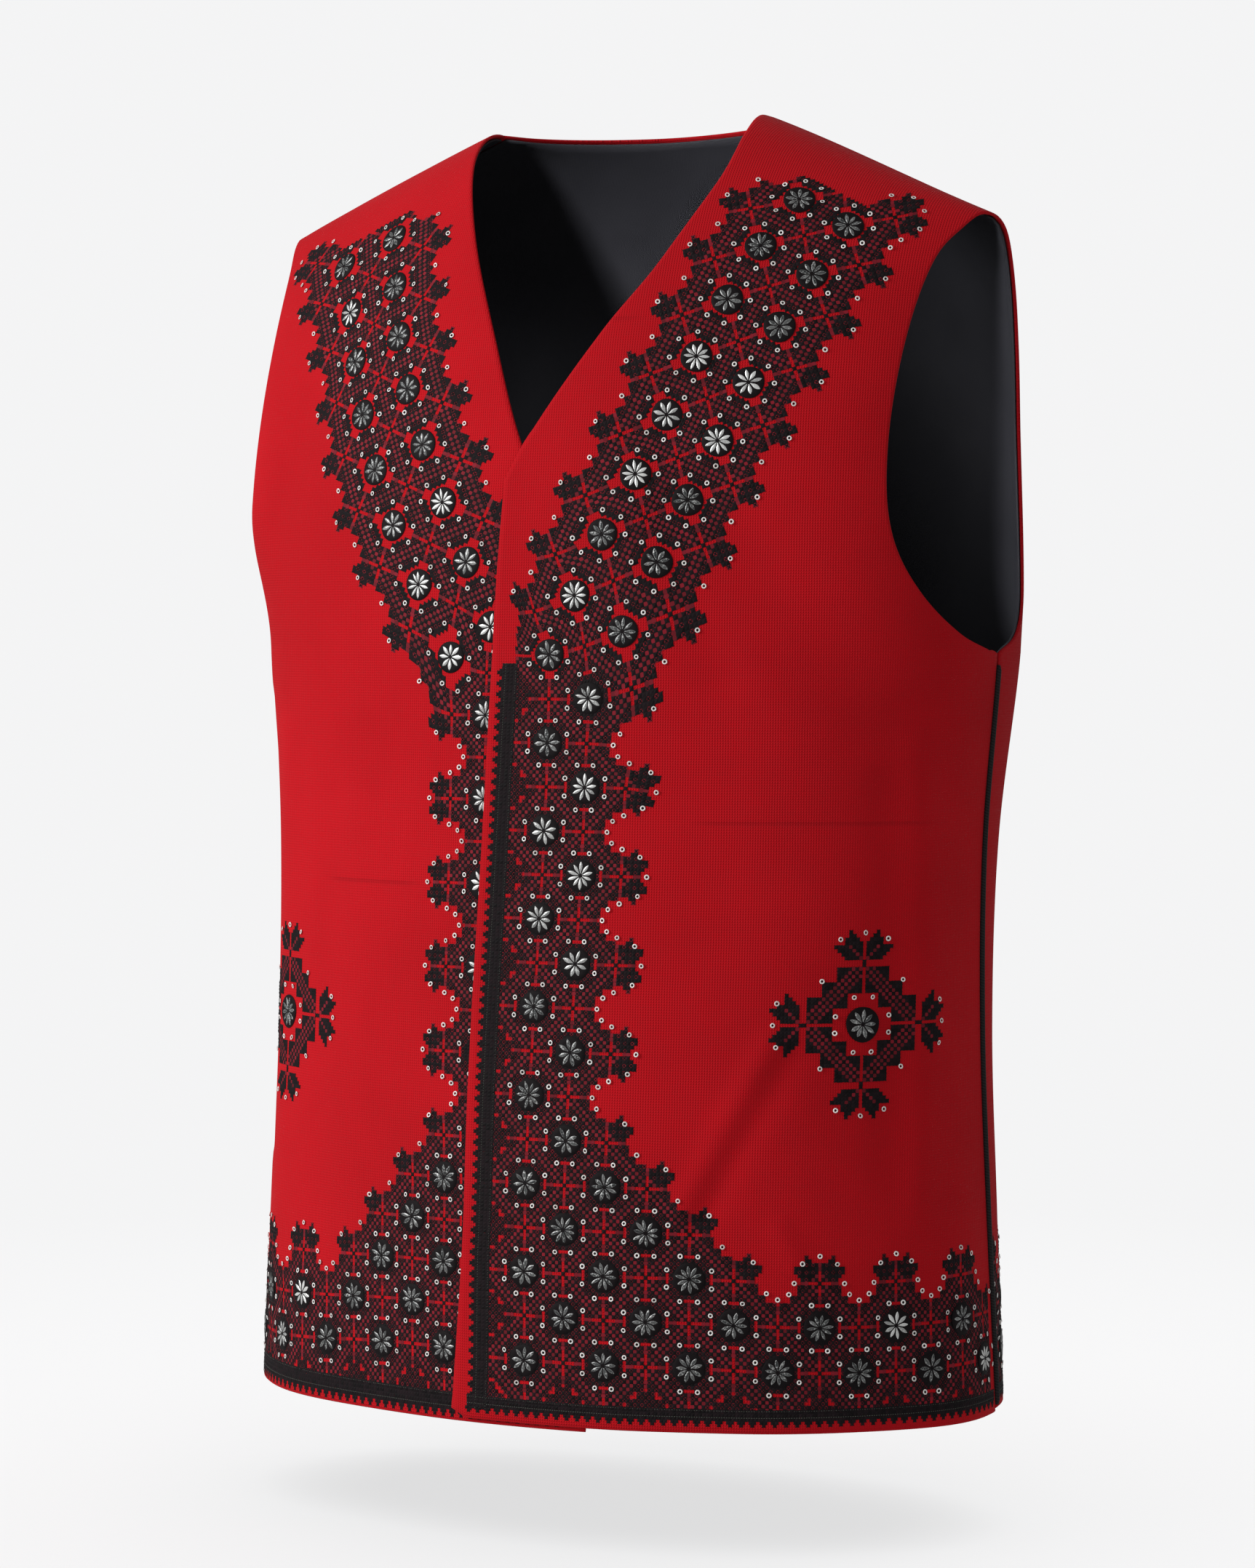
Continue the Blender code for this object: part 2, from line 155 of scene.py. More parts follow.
def levelAt(x, height, inFront=True):
    # height over the underarm's up to it, then 1 + the roll whose sine gives the height
    yoke = form["yokeFront"] if inFront else form["yokeBack"]
    rise = (height - form["underarm"]) / (shoulderHeight(x) - form["underarm"])
    roll = np.arcsin(np.clip(rise, 0, 1) ** (yoke / 2))
    return np.where(height <= form["underarm"], height / form["underarm"], 1 + roll / (pi / 2))


def angleAt(x, level, inFront=True):
    # arcsine of (x over the half width) to half the ring's power
    power = form["frontPower"] if inFront else levelValue(level, "backPower")
    share = np.clip(np.abs(x) / levelValue(level, "halfWidth"), 0, 1)
    angle = np.arcsin(share ** (power / 2)) * np.sign(x)
    return angle if inFront else pi * np.where(x >= 0, 1, -1) - angle


def evenCurve(angles, levels, count):
    # count places on the cubic through the stations, evenly spaced by real length
    s, fine = np.linspace(0, 1, len(angles)), np.linspace(0, 1, 400)
    a, t = smoothLine(fine, s, angles), smoothLine(fine, s, levels)
    step = np.linalg.norm(np.diff(formPoint(a, t), axis=0), axis=1)
    way = np.concatenate([[0], np.cumsum(step)])
    want = np.linspace(0, way[-1], count)
    return np.interp(want, way, a), np.interp(want, way, t)


def filled(left, right, bottom, top):
    # Coons patch: sides plus ends less corners
    v, u = np.linspace(0, 1, len(left))[:, None], np.linspace(0, 1, len(bottom))[None, :]
    corners = ((1 - u) * (1 - v) * bottom[0] + u * (1 - v) * bottom[-1]
               + (1 - u) * v * top[0] + u * v * top[-1])
    return (1 - u) * left[:, None] + u * right[:, None] + (1 - v) * bottom + v * top - corners


def sideAngle(level, inFront):
    # the seam's angle, less or more the angle of the piping's half width and the gap
    seam = radians(form["seamAngle"])
    near = formPoint(seam + 0.02, level) - formPoint(seam - 0.02, level)
    keep = form["pipingWide"] + form["layerGap"]
    turn = 0.04 * keep / np.linalg.norm(near, axis=-1)
    return seam - turn if inFront else seam + turn


def sideBorder(inFront, table, rowsSeam, rowsHole):
    # up the side seam, then round the armhole to the shoulder's end
    levels = np.linspace(0, 1, rowsSeam + 1)
    angles = sideAngle(levels, inFront)
    holeAngle, height = np.radians([r[0] for r in table]), np.array([r[1] for r in table])
    x = levelValue(1.4, "halfWidth") * np.abs(np.sin(holeAngle)) ** (2 / form["frontPower"])
    holeLevel = levelAt(x, height, inFront)
    tip = angleAt(form["shoulderHalf"], 2.0, inFront)
    holeAngle = np.concatenate([[angles[-1]], holeAngle, [tip]])
    holeLevel = np.concatenate([[1.0], holeLevel, [form["topLevel"]]])
    a, t = evenCurve(holeAngle, holeLevel, rowsHole + 1)
    return np.concatenate([angles, a[1:]]), np.concatenate([levels, t[1:]])


def centreBorder(side, rowsEdge, rowsNeck):
    # up the front edge, then along the neckline to the shoulder
    rows = np.array(frontEdge[side] + neckline[side][:1])
    levels = levelAt(rows[:, 0], rows[:, 1])
    a, t = evenCurve(angleAt(rows[:, 0], levels), levels, rowsEdge + 1)
    rows = np.array(neckline[side])
    nl = levelAt(rows[:, 0], rows[:, 1])
    na = np.concatenate([angleAt(rows[:, 0], nl), [angleAt(side * form["neckHalf"], 2.0)]])
    b, u = evenCurve(na, np.concatenate([nl, [form["topLevel"]]]), rowsNeck + 1)
    return np.concatenate([a, b[1:]]), np.concatenate([t, u[1:]])


def frontGrid(side, across, rows):
    # patch between the centre border and the side border
    seam, edge = round(rows * 0.5), round(rows * 0.66)
    sa, sl = sideBorder(True, armhole[side], seam, rows - seam)
    ca, cl = centreBorder(side, edge, rows - edge)
    u = np.linspace(0, 1, across + 1)
    angle = filled(ca, side * sa, ca[0] + (side * sa[0] - ca[0]) * u,
                   ca[-1] + (side * sa[-1] - ca[-1]) * u)
    level = filled(cl, sl, np.zeros(across + 1), np.full(across + 1, form["topLevel"]))
    return (angle, level) if side > 0 else (angle[:, ::-1], level[:, ::-1])


def backGrid(across, rows):
    # two patches from the side borders to the centre back, joined there
    seam = round(rows * 0.5)
    sa, sl = sideBorder(False, armhole[0], seam, rows - seam)
    half = across // 2
    underSeam = round(half * 0.54) / half
    w = np.linspace(0, 1, half + 1)
    sheets = []
    for side in (-1, 1):
        tip, neck = sa[-1], angleAt(form["neckHalf"], 2.0, False)
        s = np.clip(w / underSeam, 0, 1)
        n = np.clip((w - underSeam) / (1 - underSeam), 0, 1)
        nx = form["neckHalf"] * (1 - n)
        rise = 0.0035 * np.where(side > 0, 1 - n * 0.5, n * 0.5)
        nl = np.minimum(levelAt(side * nx, backNeckHeight + rise, False), form["topLevel"])
        na = np.abs(angleAt(nx, nl, False))
        topAngle = np.where(w <= underSeam, tip + (neck - tip) * s, na)
        topRow = np.where(w <= underSeam, form["topLevel"], nl)
        angle = filled(sa, np.full(rows + 1, pi), sa[0] + (pi - sa[0]) * w, topAngle)
        level = filled(sl, topRow[-1] * np.linspace(0, 1, rows + 1), np.zeros(half + 1), topRow)
        sheets.append((angle, level))
    right, left = sheets
    angle = np.concatenate([2 * pi - right[0], left[0][:, -2::-1]], axis=1)
    level = np.concatenate([right[1], left[1][:, -2::-1]], axis=1)
    return angle[:, ::-1], level[:, ::-1]


# folds: each one a soft trough (depth below 0) or ridge along a line from x, height to
# x, height; the same for every layer, so walls and linings stay parallel
folds = {
    "front": [
        (0.064, 0.480, 0.172, 0.350, 0.022, -0.0030), (0.070, 0.440, 0.100, 0.365, 0.012, -0.0012),
        (0.126, 0.187, 0.088, 0.107, 0.007, 0.0016), (0.134, 0.181, 0.098, 0.104, 0.007, -0.0012),
        (0.131, 0.097, 0.139, 0.080, 0.005, 0.0010), (0.171, 0.312, 0.174, 0.120, 0.008, -0.0012),
        (0.182, 0.330, 0.184, 0.100, 0.006, 0.0012), (0.191, 0.320, 0.192, 0.110, 0.005, -0.0010),
        (-0.120, 0.300, -0.126, 0.080, 0.014, -0.0010), (-0.160, 0.330, -0.162, 0.060, 0.010, 0.0014),
        (-0.182, 0.350, -0.180, 0.120, 0.006, -0.0010), (-0.128, 0.540, -0.168, 0.440, 0.016, -0.0016),
    ],
    "back": [
        (-0.015, 0.400, -0.020, 0.120, 0.016, -0.0022), (0.045, 0.330, 0.050, 0.090, 0.014, 0.0018),
        (0.085, 0.420, 0.078, 0.160, 0.015, -0.0020), (0.125, 0.340, 0.130, 0.100, 0.013, 0.0016),
        (-0.070, 0.360, -0.062, 0.110, 0.015, 0.0018), (-0.105, 0.440, -0.112, 0.150, 0.015, -0.0020),
        (-0.150, 0.330, -0.150, 0.110, 0.012, 0.0014), (0.030, 0.600, 0.034, 0.480, 0.012, -0.0014),
        (-0.042, 0.600, -0.050, 0.470, 0.013, -0.0014), (0.004, 0.600, 0.003, 0.450, 0.005, -0.0016),
        (0.013, 0.600, 0.014, 0.500, 0.006, 0.0012),
        (0.150, 0.450, 0.100, 0.520, 0.018, -0.0014), (-0.150, 0.450, -0.100, 0.520, 0.018, -0.0014),
    ],
}


def foldDepth(base, angle):
    # depth times exp(-(distance to the line / width)^2), summed; nothing at the side seams
    inFront = np.cos(angle) > 0
    x, h = base[..., 0], base[..., 2] + form["lengthBack"]
    total = np.zeros(x.shape)
    for where, rows in folds.items():
        part = np.zeros(x.shape)
        for ax, ah, bx, bh, width, depth in rows:
            dx, dh = bx - ax, bh - ah
            s = np.clip(((x - ax) * dx + (h - ah) * dh) / (dx * dx + dh * dh), 0, 1)
            away = np.hypot(x - ax - s * dx, h - ah - s * dh)
            part = part + depth * np.exp(-(away / width) ** 2)
        total = np.where(inFront == (where == "front"), part, total)
    seam = np.abs(np.abs(np.sin(angle / 2)) - sin(radians(46)))
    return total * ease(seam, 0.004, 0.05)


panels = {
    "leftFront": {"side": 1, "node": "left_front", "hemDrop": 0.0015, "lifted": True},
    "rightFront": {"side": -1, "node": "right_front", "hemDrop": 0.0040, "lifted": False},
    "back": {"side": 0, "node": "back", "hemDrop": 0.0, "lifted": False},
}


def onPanel(panel, angle, level, out):
    # base point, moved out along its normal by lap lift, fold and layer, and down at the hem
    angle, level = np.broadcast_arrays(np.asarray(angle, float), np.asarray(level, float))
    base, normal = formPoint(angle, level), formNormal(angle, level)
    up = foldDepth(base, angle) + out
    if panel["lifted"]:
        low = 1 - ease(base[..., 2] + form["lengthBack"], 0.51, 0.60)
        up = up + form["lapLift"] * (1 - ease(base[..., 0], 0.048, 0.110)) * low
    point = base + normal * up[..., None]
    point[..., 2] -= panel["hemDrop"] * np.clip(1 - level / 0.12, 0, 1)
    if panel["lifted"]:                                # the lower corner of the lap is rounded
        point[..., 2] += 0.0040 * (1 - ease(base[..., 0], -0.032, -0.024)) * (1 - ease(level, 0.0, 0.03))
    return point, normal


# lengths measured on the form: round it from the centre front, and up it from the hem
tableAngle = np.radians(np.linspace(-110, 290, 801))
tableLevel = np.linspace(0, 2, 161)
tablePoint = formPoint(tableAngle[:, None], np.clip(tableLevel, 0, 1.9995)[None, :])
roundTable = np.concatenate([np.zeros((1, 161)), np.cumsum(
    np.linalg.norm(np.diff(tablePoint, axis=0), axis=2), axis=0)])
roundTable = roundTable - roundTable[220]
upTable = np.concatenate([np.zeros((801, 1)), np.cumsum(
    np.linalg.norm(np.diff(tablePoint, axis=1), axis=2), axis=1)], axis=1)
tableWay = np.linspace(-0.34, 0.98, 1321)
angleTable = np.stack([np.interp(tableWay, roundTable[:, k], tableAngle) for k in range(161)], 1)


def lookUp(table, rows, row, level):
    # value between the four nearest entries of a table
    r = np.clip((row - rows[0]) / (rows[1] - rows[0]), 0, len(rows) - 1.001)
    t = np.clip(level * 80, 0, 159.999)
    i, j = r.astype(int), t.astype(int)
    a, b = r - i, t - j
    return ((1 - a) * (1 - b) * table[i, j] + a * (1 - b) * table[i + 1, j]
            + (1 - a) * b * table[i, j + 1] + a * b * table[i + 1, j + 1])


def fromWay(u, height):
    # angle and level of a place u round from the centre front, and a height above the hem
    u, height = np.broadcast_arrays(np.asarray(u, float), np.asarray(height, float))
    level = levelAt(u, height)
    return lookUp(angleTable, tableWay, u, level), level


# meshes from arrays
def makeMesh(name, points, faces, material, uv=None, marks=None, smooth=True):
    # points n x 3; faces a list of arrays, m x 3 or m x 4; uv and marks are given per point
    mesh = bpy.data.meshes.new(name)
    points = np.asarray(points, np.float32)
    corner = np.concatenate([f.reshape(-1) for f in faces]).astype(np.int32)
    sizes = np.concatenate([np.full(len(f), f.shape[1]) for f in faces])
    starts = np.concatenate([[0], np.cumsum(sizes)[:-1]]).astype(np.int32)
    mesh.vertices.add(len(points))
    mesh.vertices.foreach_set("co", points.reshape(-1))
    mesh.loops.add(len(corner))
    mesh.loops.foreach_set("vertex_index", corner)
    mesh.polygons.add(len(starts))
    mesh.polygons.foreach_set("loop_start", starts)
    mesh.polygons.foreach_set("use_smooth", np.full(len(starts), smooth))
    mesh.update(calc_edges=True)
    if uv is not None:
        layer = mesh.uv_layers.new(name="clothMetres")
        layer.data.foreach_set("uv", np.asarray(uv, np.float32)[corner].reshape(-1))
    for key, values in (marks or {}).items():
        layer = mesh.attributes.new(key, "FLOAT", "POINT")
        layer.data.foreach_set("value", np.asarray(values, np.float32))
    mesh.validate()
    mesh.materials.append(material)
    piece = bpy.data.objects.new(name, mesh)
    bpy.context.scene.collection.objects.link(piece)
    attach(piece, "root")
    return piece


def gridFaces(rows, cols, shift=0):
    # one square between each point, the next, and the two a row on
    a = (np.arange(rows - 1)[:, None] * cols + np.arange(cols - 1)[None, :]).reshape(-1) + shift
    return np.stack([a, a + 1, a + 1 + cols, a + cols], 1)


def shellMesh(name, outer, inner, uv, bulge, material):
    # outer grid, inner grid turned round, and a rim of two strips with a rounded middle
    rows, cols = outer.shape[:2]
    count = rows * cols
    index = np.arange(count).reshape(rows, cols)
    ring = np.concatenate([index[0, :], index[1:, -1], index[-1, -2::-1], index[-2:0:-1, 0]])
    near = np.concatenate([index[1, :], index[1:, -2], index[-2, -2::-1], index[-2:0:-1, 1]])
    o, i = outer.reshape(-1, 3), inner.reshape(-1, 3)
    middle = (o[ring] + i[ring]) / 2 + unit(o[ring] - o[near]) * bulge
    mid = 2 * count + np.arange(len(ring))
    nextRing, nextMid = np.roll(ring, -1), np.roll(mid, -1)
    faces = [gridFaces(rows, cols), gridFaces(rows, cols, count)[:, ::-1],
             np.stack([nextRing, ring, mid, nextMid], 1),
             np.stack([nextMid, mid, ring + count, nextRing + count], 1)]
    uv = uv.reshape(-1, 2)
    return makeMesh(name, np.concatenate([o, i, middle]), faces, material,
                    uv=np.concatenate([uv, uv, uv[ring]]))


# shader maths: a socket that can be added to, multiplied and so on
class Wire:
    def __init__(self, net, node, socket):
        self.net, self.node, self.socket = net, node, socket

    def of(self, name):
        return Wire(self.net, self.node, self.node.outputs[name])

    def maths(self, operation, other=None, turned=False):
        values = [self] if other is None else ([other, self] if turned else [self, other])
        return self.net.add("ShaderNodeMath", {"operation": operation}, dict(enumerate(values)))

    def __add__(self, other): return self.maths("ADD", other)
    def __radd__(self, other): return self.maths("ADD", other)
    def __sub__(self, other): return self.maths("SUBTRACT", other)
    def __rsub__(self, other): return self.maths("SUBTRACT", other, True)
    def __mul__(self, other): return self.maths("MULTIPLY", other)
    def __rmul__(self, other): return self.maths("MULTIPLY", other)


socketNames = {"colour": "Base Color", "roughness": "Roughness", "metallic": "Metallic", "normal": "Normal",
               "sheen": "Sheen Weight", "sheenRoughness": "Sheen Roughness", "sheenTint": "Sheen Tint",
               "specular": "Specular IOR Level", "coat": "Coat Weight", "alpha": "Alpha"}


class Net:
    def __init__(self, name):
        self.material = bpy.data.materials.new(name)
        self.material.use_nodes = True
        self.nodes, self.links = self.material.node_tree.nodes, self.material.node_tree.links
        self.shader = self.nodes["Principled BSDF"]

    def add(self, kind, settings=None, inputs=None):
        node = self.nodes.new(kind)
        for key, value in (settings or {}).items():
            setattr(node, key, value)
        for key, value in (inputs or {}).items():
            self.plug(node.inputs[key], value)
        return Wire(self, node, next(o for o in node.outputs if o.enabled))

    def plug(self, socket, value):
        if isinstance(value, Wire):
            self.links.new(value.socket, socket)
        else:
            socket.default_value = value

    def set(self, **values):
        for key, value in values.items():
            self.plug(self.shader.inputs[socketNames[key]], value)
        return self.material

    def place(self):
        return self.add("ShaderNodeTexCoord").of("Object")

    def clothPlace(self):
        return self.add("ShaderNodeUVMap", {"uv_map": "clothMetres"})

    def mark(self, name):
        return self.add("ShaderNodeAttribute", {"attribute_name": name}).of("Fac")

    def cut(self, value):
        return self.add("ShaderNodeSeparateXYZ", {}, {0: value})

    def noise(self, place, scale, detail=3.0):
        return self.add("ShaderNodeTexNoise", {}, {"Vector": place, "Scale": scale, "Detail": detail,
                                                  "Roughness": 0.55})

    def mix(self, share, a, b):
        return self.add("ShaderNodeMix", {"data_type": "RGBA"}, {0: share, 6: a, 7: b}).of(2)

    def span(self, value, low, high, fromValue=0.0, toValue=1.0):
        return self.add("ShaderNodeMapRange", {"clamp": True}, {"Value": value, "From Min": low,
                        "From Max": high, "To Min": fromValue, "To Max": toValue})

    def bump(self, height, strength, distance):
        return self.add("ShaderNodeBump", {}, {"Height": height, "Strength": strength, "Distance": distance})

    def threads(self, value, pitch):
        # cosine that comes round once every pitch
        return (value * (2 * pi / pitch)).maths("COSINE")


# woven red cloth: threads under and over at 1.27 mm, darker where the weave dips (painted shade), slow random
# changes of tone, faint press creases darkened in colour (painted shade); each panel's red is set lighter or
# darker for the light it gets (painted light and shade)
clothLooks = {
    # each panel's red is set lighter or darker by how it stands to the light, the right front lightest and the
    # back darkest: painted light and shade
    "leftFront": {"deep": (0.47, 0.0035, 0.009, 1), "bright": (0.62, 0.0060, 0.013, 1)},
    "rightFront": {"deep": (0.52, 0.0045, 0.010, 1), "bright": (0.67, 0.0070, 0.015, 1)},
    "back": {"deep": (0.45, 0.0035, 0.009, 1), "bright": (0.58, 0.0055, 0.012, 1)},
    # the darker red painted along the press creases: painted shade
    "pitch": 0.00127, "creaseDentAndShade": (0.20, 0.002, 0.006, 1),
    "creases": [(0.0877, 0.191, 0.2930), (-0.125, -0.057, 0.2600), (0.030, 0.058, 0.5390)],
}


def clothMaterial(name, looks):
    net = Net(name + "Cloth")
    uv = net.clothPlace()
    cut = net.cut(uv)
    place = net.place()
    xyz = net.cut(place)
    wobble = net.noise(uv, 60.0, 2.0) * 0.0006
    warp, weft = (net.threads(cut.of(way) + wobble, clothLooks["pitch"]) * 0.5 + 0.5 for way in "XY")
    weave = warp * weft
    shade = net.span(net.noise(place, 9.0, 4.0), 0.35, 0.65)
    slub = net.span(net.noise(uv, 420.0, 2.0), 0.3, 0.7)
    # the weave term makes the cloth lighter on the thread crossings and darker where the weave dips: painted
    # shade
    colour = net.mix(shade * 0.5 + slub * 0.2 + weave * 0.3, looks["deep"], looks["bright"])
    # crease lines: a mask that dents the cloth in the bump and darkens its colour towards the crease colour:
    # painted shade
    creaseDentAndShade = 0.0
    for low, high, height in clothLooks["creases"]:
        away = (xyz.of("Z") - (height - form["lengthBack"])).maths("ABSOLUTE")
        line = net.span(away, 0.0004, 0.0016, 1.0, 0.0)
        ends = net.span(xyz.of("X"), low, low + 0.012) * net.span(xyz.of("X"), high - 0.012, high, 1.0, 0.0)
        front = net.span(xyz.of("Y"), -0.002, 0.002, 1.0, 0.0)
        creaseDentAndShade = line * ends * front + creaseDentAndShade
    colour = net.mix(creaseDentAndShade * 0.22, colour, clothLooks["creaseDentAndShade"])
    fuzz = net.noise(uv, 1600.0, 2.0)
    bump = net.bump(weave * 1.1 + fuzz * 0.35 - creaseDentAndShade * 0.8, 0.6, 0.0005)
    return net.set(colour=colour, roughness=net.span(slub, 0.0, 1.0, 0.78, 0.92), normal=bump,
                   sheen=0.04, sheenRoughness=0.5, sheenTint=(0.9, 0.25, 0.25, 1), specular=0.13)


# black lining: fine plain cloth with a slight gloss
liningLooks = {"deep": (0.010, 0.010, 0.0125, 1), "bright": (0.026, 0.026, 0.031, 1), "pitch": 0.0007}


def liningMaterial(name):
    net = Net(name + "Lining")
    uv = net.clothPlace()
    cut = net.cut(uv)
    place = net.place()
    warp, weft = (net.threads(cut.of(way), liningLooks["pitch"]) for way in "XY")
    weave = warp * weft * 0.5 + 0.5
    colour = net.mix(net.noise(place, 14.0, 3.0), liningLooks["deep"], liningLooks["bright"])
    bump = net.bump(weave + net.noise(uv, 90.0, 3.0) * 1.5, 0.3, 0.0003)
    return net.set(colour=colour, roughness=0.62, normal=bump, sheen=0.03, sheenRoughness=0.4,
                   sheenTint=(0.5, 0.52, 0.62, 1), specular=0.12)


# the darker and the lighter colour of each thread and trim
trimLooks = {
    "cord": ((0.004, 0.004, 0.0045, 1), (0.014, 0.013, 0.014, 1)),
    "floss": ((0.0045, 0.0030, 0.0036, 1), (0.016, 0.010, 0.012, 1)),
    # plum: a darker red for the cloth seen between the stitches: painted shade
    "plum": ((0.130, 0.004, 0.010, 1), (0.285, 0.008, 0.021, 1)),
    "foil": ((0.020, 0.024, 0.025, 1), (0.95, 0.96, 0.94, 1)),
    "pearl": ((0.62, 0.58, 0.54, 1), (1.0, 0.98, 0.95, 1)),
    "running": ((0.055, 0.063, 0.052, 1), (0.15, 0.165, 0.135, 1)),
}


# black cord of the side seams, with a fine twist round it
def cordMaterial(name):
    net = Net(name + "Cord")
    cut = net.cut(net.clothPlace())
    twist = ((cut.of("X") * 2.0 + cut.of("Y") * 700.0) * 2 * pi).maths("SINE") * 0.5 + 0.5
    # the twist's grooves are painted darker and its strands lighter: painted shade
    colour = net.mix(twist, *trimLooks["cord"])
    return net.set(colour=colour, roughness=net.span(twist, 0.0, 1.0, 0.75, 0.55),
                   normal=net.bump(twist, 0.5, 0.0003), specular=0.3)


# embroidery floss: black with a brown cast, each stitch a little lighter or darker
def flossMaterial():
    net = Net("blackFloss")
    tint, grain = net.mark("tint"), net.noise(net.place(), 2600.0, 2.0)
    return net.set(colour=net.mix(tint, *trimLooks["floss"]), roughness=net.span(tint, 0.0, 1.0, 0.62, 0.82),
                   normal=net.bump(grain, 0.35, 0.0002), sheen=0.02, sheenRoughness=0.4, specular=0.13)


# plum ground: dark red squares under and beside the black stitches, which darken the red cloth where it shows
# between them: painted shade
def plumMaterial():
    net = Net("plumGroundShade")
    tint, grain = net.mark("tint"), net.noise(net.place(), 2600.0, 2.0)
    return net.set(colour=net.mix(tint, *trimLooks["plum"]), roughness=net.span(grain, 0.3, 0.7, 0.65, 0.85),
                   normal=net.bump(grain, 0.3, 0.0002), specular=0.25)


# foil petals: crinkled silver; the colour runs from near white to dark grey by the shine mark, with light
# flecks and lighter edges on the duller petals: painted reflections and glints
def petalMaterial():
    net = Net("silverFoil")
    shine, edge, place = net.mark("shine"), net.mark("edge"), net.place()
    glintFlecks = net.span(net.noise(place, 1000.0, 2.0), 0.54, 0.66)
    # how near white the foil is painted: the shine mark, and on the duller petals the glint flecks and their
    # lighter edges: painted reflection and painted highlights
    share = shine * 0.88 + (1 - shine) * (glintFlecks * 0.50 + edge * 0.24)
    crinkle = net.bump(net.noise(place, 1500.0, 2.0), 0.5, 0.0002)
    return net.set(colour=net.mix(share, *trimLooks["foil"]), metallic=0.35, specular=0.6,
                   roughness=net.span(glintFlecks, 0.0, 1.0, 0.30, 0.50), normal=crinkle)


# ring sequins: pearly white plastic, some duller
def sequinMaterial():
    net = Net("pearlSequin")
    tint, scratch = net.mark("tint"), net.noise(net.place(), 1800.0, 2.0)
    return net.set(colour=net.mix(tint, *trimLooks["pearl"]), coat=0.4,
                   roughness=net.span(scratch, 0.3, 0.7, 0.16, 0.34), normal=net.bump(scratch, 0.15, 0.0001))


# grey-green running thread along the border
def runningMaterial():
    net = Net("runningThread")
    grain = net.span(net.noise(net.place(), 1900.0, 2.0), 0.3, 0.7)
    return net.set(colour=net.mix(grain, *trimLooks["running"]), roughness=net.span(grain, 0.0, 1.0, 0.6, 0.8),
                   normal=net.bump(grain, 0.3, 0.0001), specular=0.3)


floss, plum, foil = flossMaterial(), plumMaterial(), petalMaterial()
pearl, running = sequinMaterial(), runningMaterial()
print("materials made")

# cloth and lining shells
shellCells = {"leftFront": (104, 176), "rightFront": (104, 176), "back": (176, 152)}
for key, panel in panels.items():
    across, rows = shellCells[key]
    angle, level = backGrid(across, rows) if key == "back" else frontGrid(panel["side"], across, rows)
    uv = np.stack([lookUp(roundTable, tableAngle, angle, level),
                   lookUp(upTable, tableAngle, angle, level)], -1)
    outer = onPanel(panel, angle, level, form["cloth"])[0]
    inner = onPanel(panel, angle, level, 0.0)[0]
    cloth = shellMesh(key + "Cloth", outer, inner, uv, 0.0006, clothMaterial(key, clothLooks[key]))
    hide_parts(panel["node"])
    angle, level, uv = angle[::2, ::2], level[::2, ::2], uv[::2, ::2]
    high = onPanel(panel, angle, level, -form["liningGap"])[0]
    low = onPanel(panel, angle, level, -form["liningGap"] - form["lining"])[0]
    for layer in (high, low):                       # the lining stops inside the cloth's edge
        for edge, inside in ((layer[0], layer[1]), (layer[-1], layer[-2]),
                             (layer[:, 0], layer[:, 1]), (layer[:, -1], layer[:, -2])):
            edge += unit(inside - edge) * form["liningInset"]
    lining = shellMesh(key + "Lining", high, low, uv, 0.0002, liningMaterial(key))
    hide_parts(panel["node"] + "_lining")
    panel["node"] + "_lining"
print("cloth and linings made")

# side pipings: an oval section carried up the seam, closed at both ends
cordLooks = {"wide": 0.00160, "deep": 0.00165, "centre": 0.00185, "rows": 150, "round": 16,
             "ends": (0.004, 0.985), "tip": 0.55}
rows, count = cordLooks["rows"], cordLooks["round"]
k, nextK = np.arange(count), np.roll(np.arange(count), -1)
a, b = [(np.arange(rows - 1)[:, None] * count + row).reshape(-1) for row in (k, nextK)]
last, end = (rows - 1) * count, rows * count
cordFaces = [np.stack([a, b, b + count, a + count], 1), np.stack([nextK, k, np.full(count, end)], 1),
             np.stack([k + last, nextK + last, np.full(count, end + 1)], 1)]
turn, levels = np.linspace(0, 2 * pi, count, endpoint=False), np.linspace(*cordLooks["ends"], rows)
taper = np.ones((rows, 1, 1))
taper[[0, -1]] = cordLooks["tip"]
uv = np.stack(np.broadcast_arrays(turn / (2 * pi), levels[:, None] * form["underarm"]), -1).reshape(-1, 2)
uv = np.concatenate([uv, [[0, 0], [0, 0.37]]])
for name, side in (("left", 1), ("right", -1)):
    angle = np.full(rows, side * radians(form["seamAngle"]))
    centre, out = onPanel({"hemDrop": 0.0, "lifted": False}, angle, levels, cordLooks["centre"])
    along = unit(np.cross(np.gradient(centre, axis=0), out))
    section = (out[:, None] * (cordLooks["deep"] * np.cos(turn))[:, None]
               + along[:, None] * (cordLooks["wide"] * np.sin(turn))[:, None])
    rings = centre[:, None] + section * taper
    cord = makeMesh(name + "SidePiping", np.concatenate([rings.reshape(-1, 3), centre[[0, -1]]]), cordFaces,
                    cordMaterial(name), uv=uv)
    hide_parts(name + "_side_piping")
    name + "_side_piping"
print("pipings made")

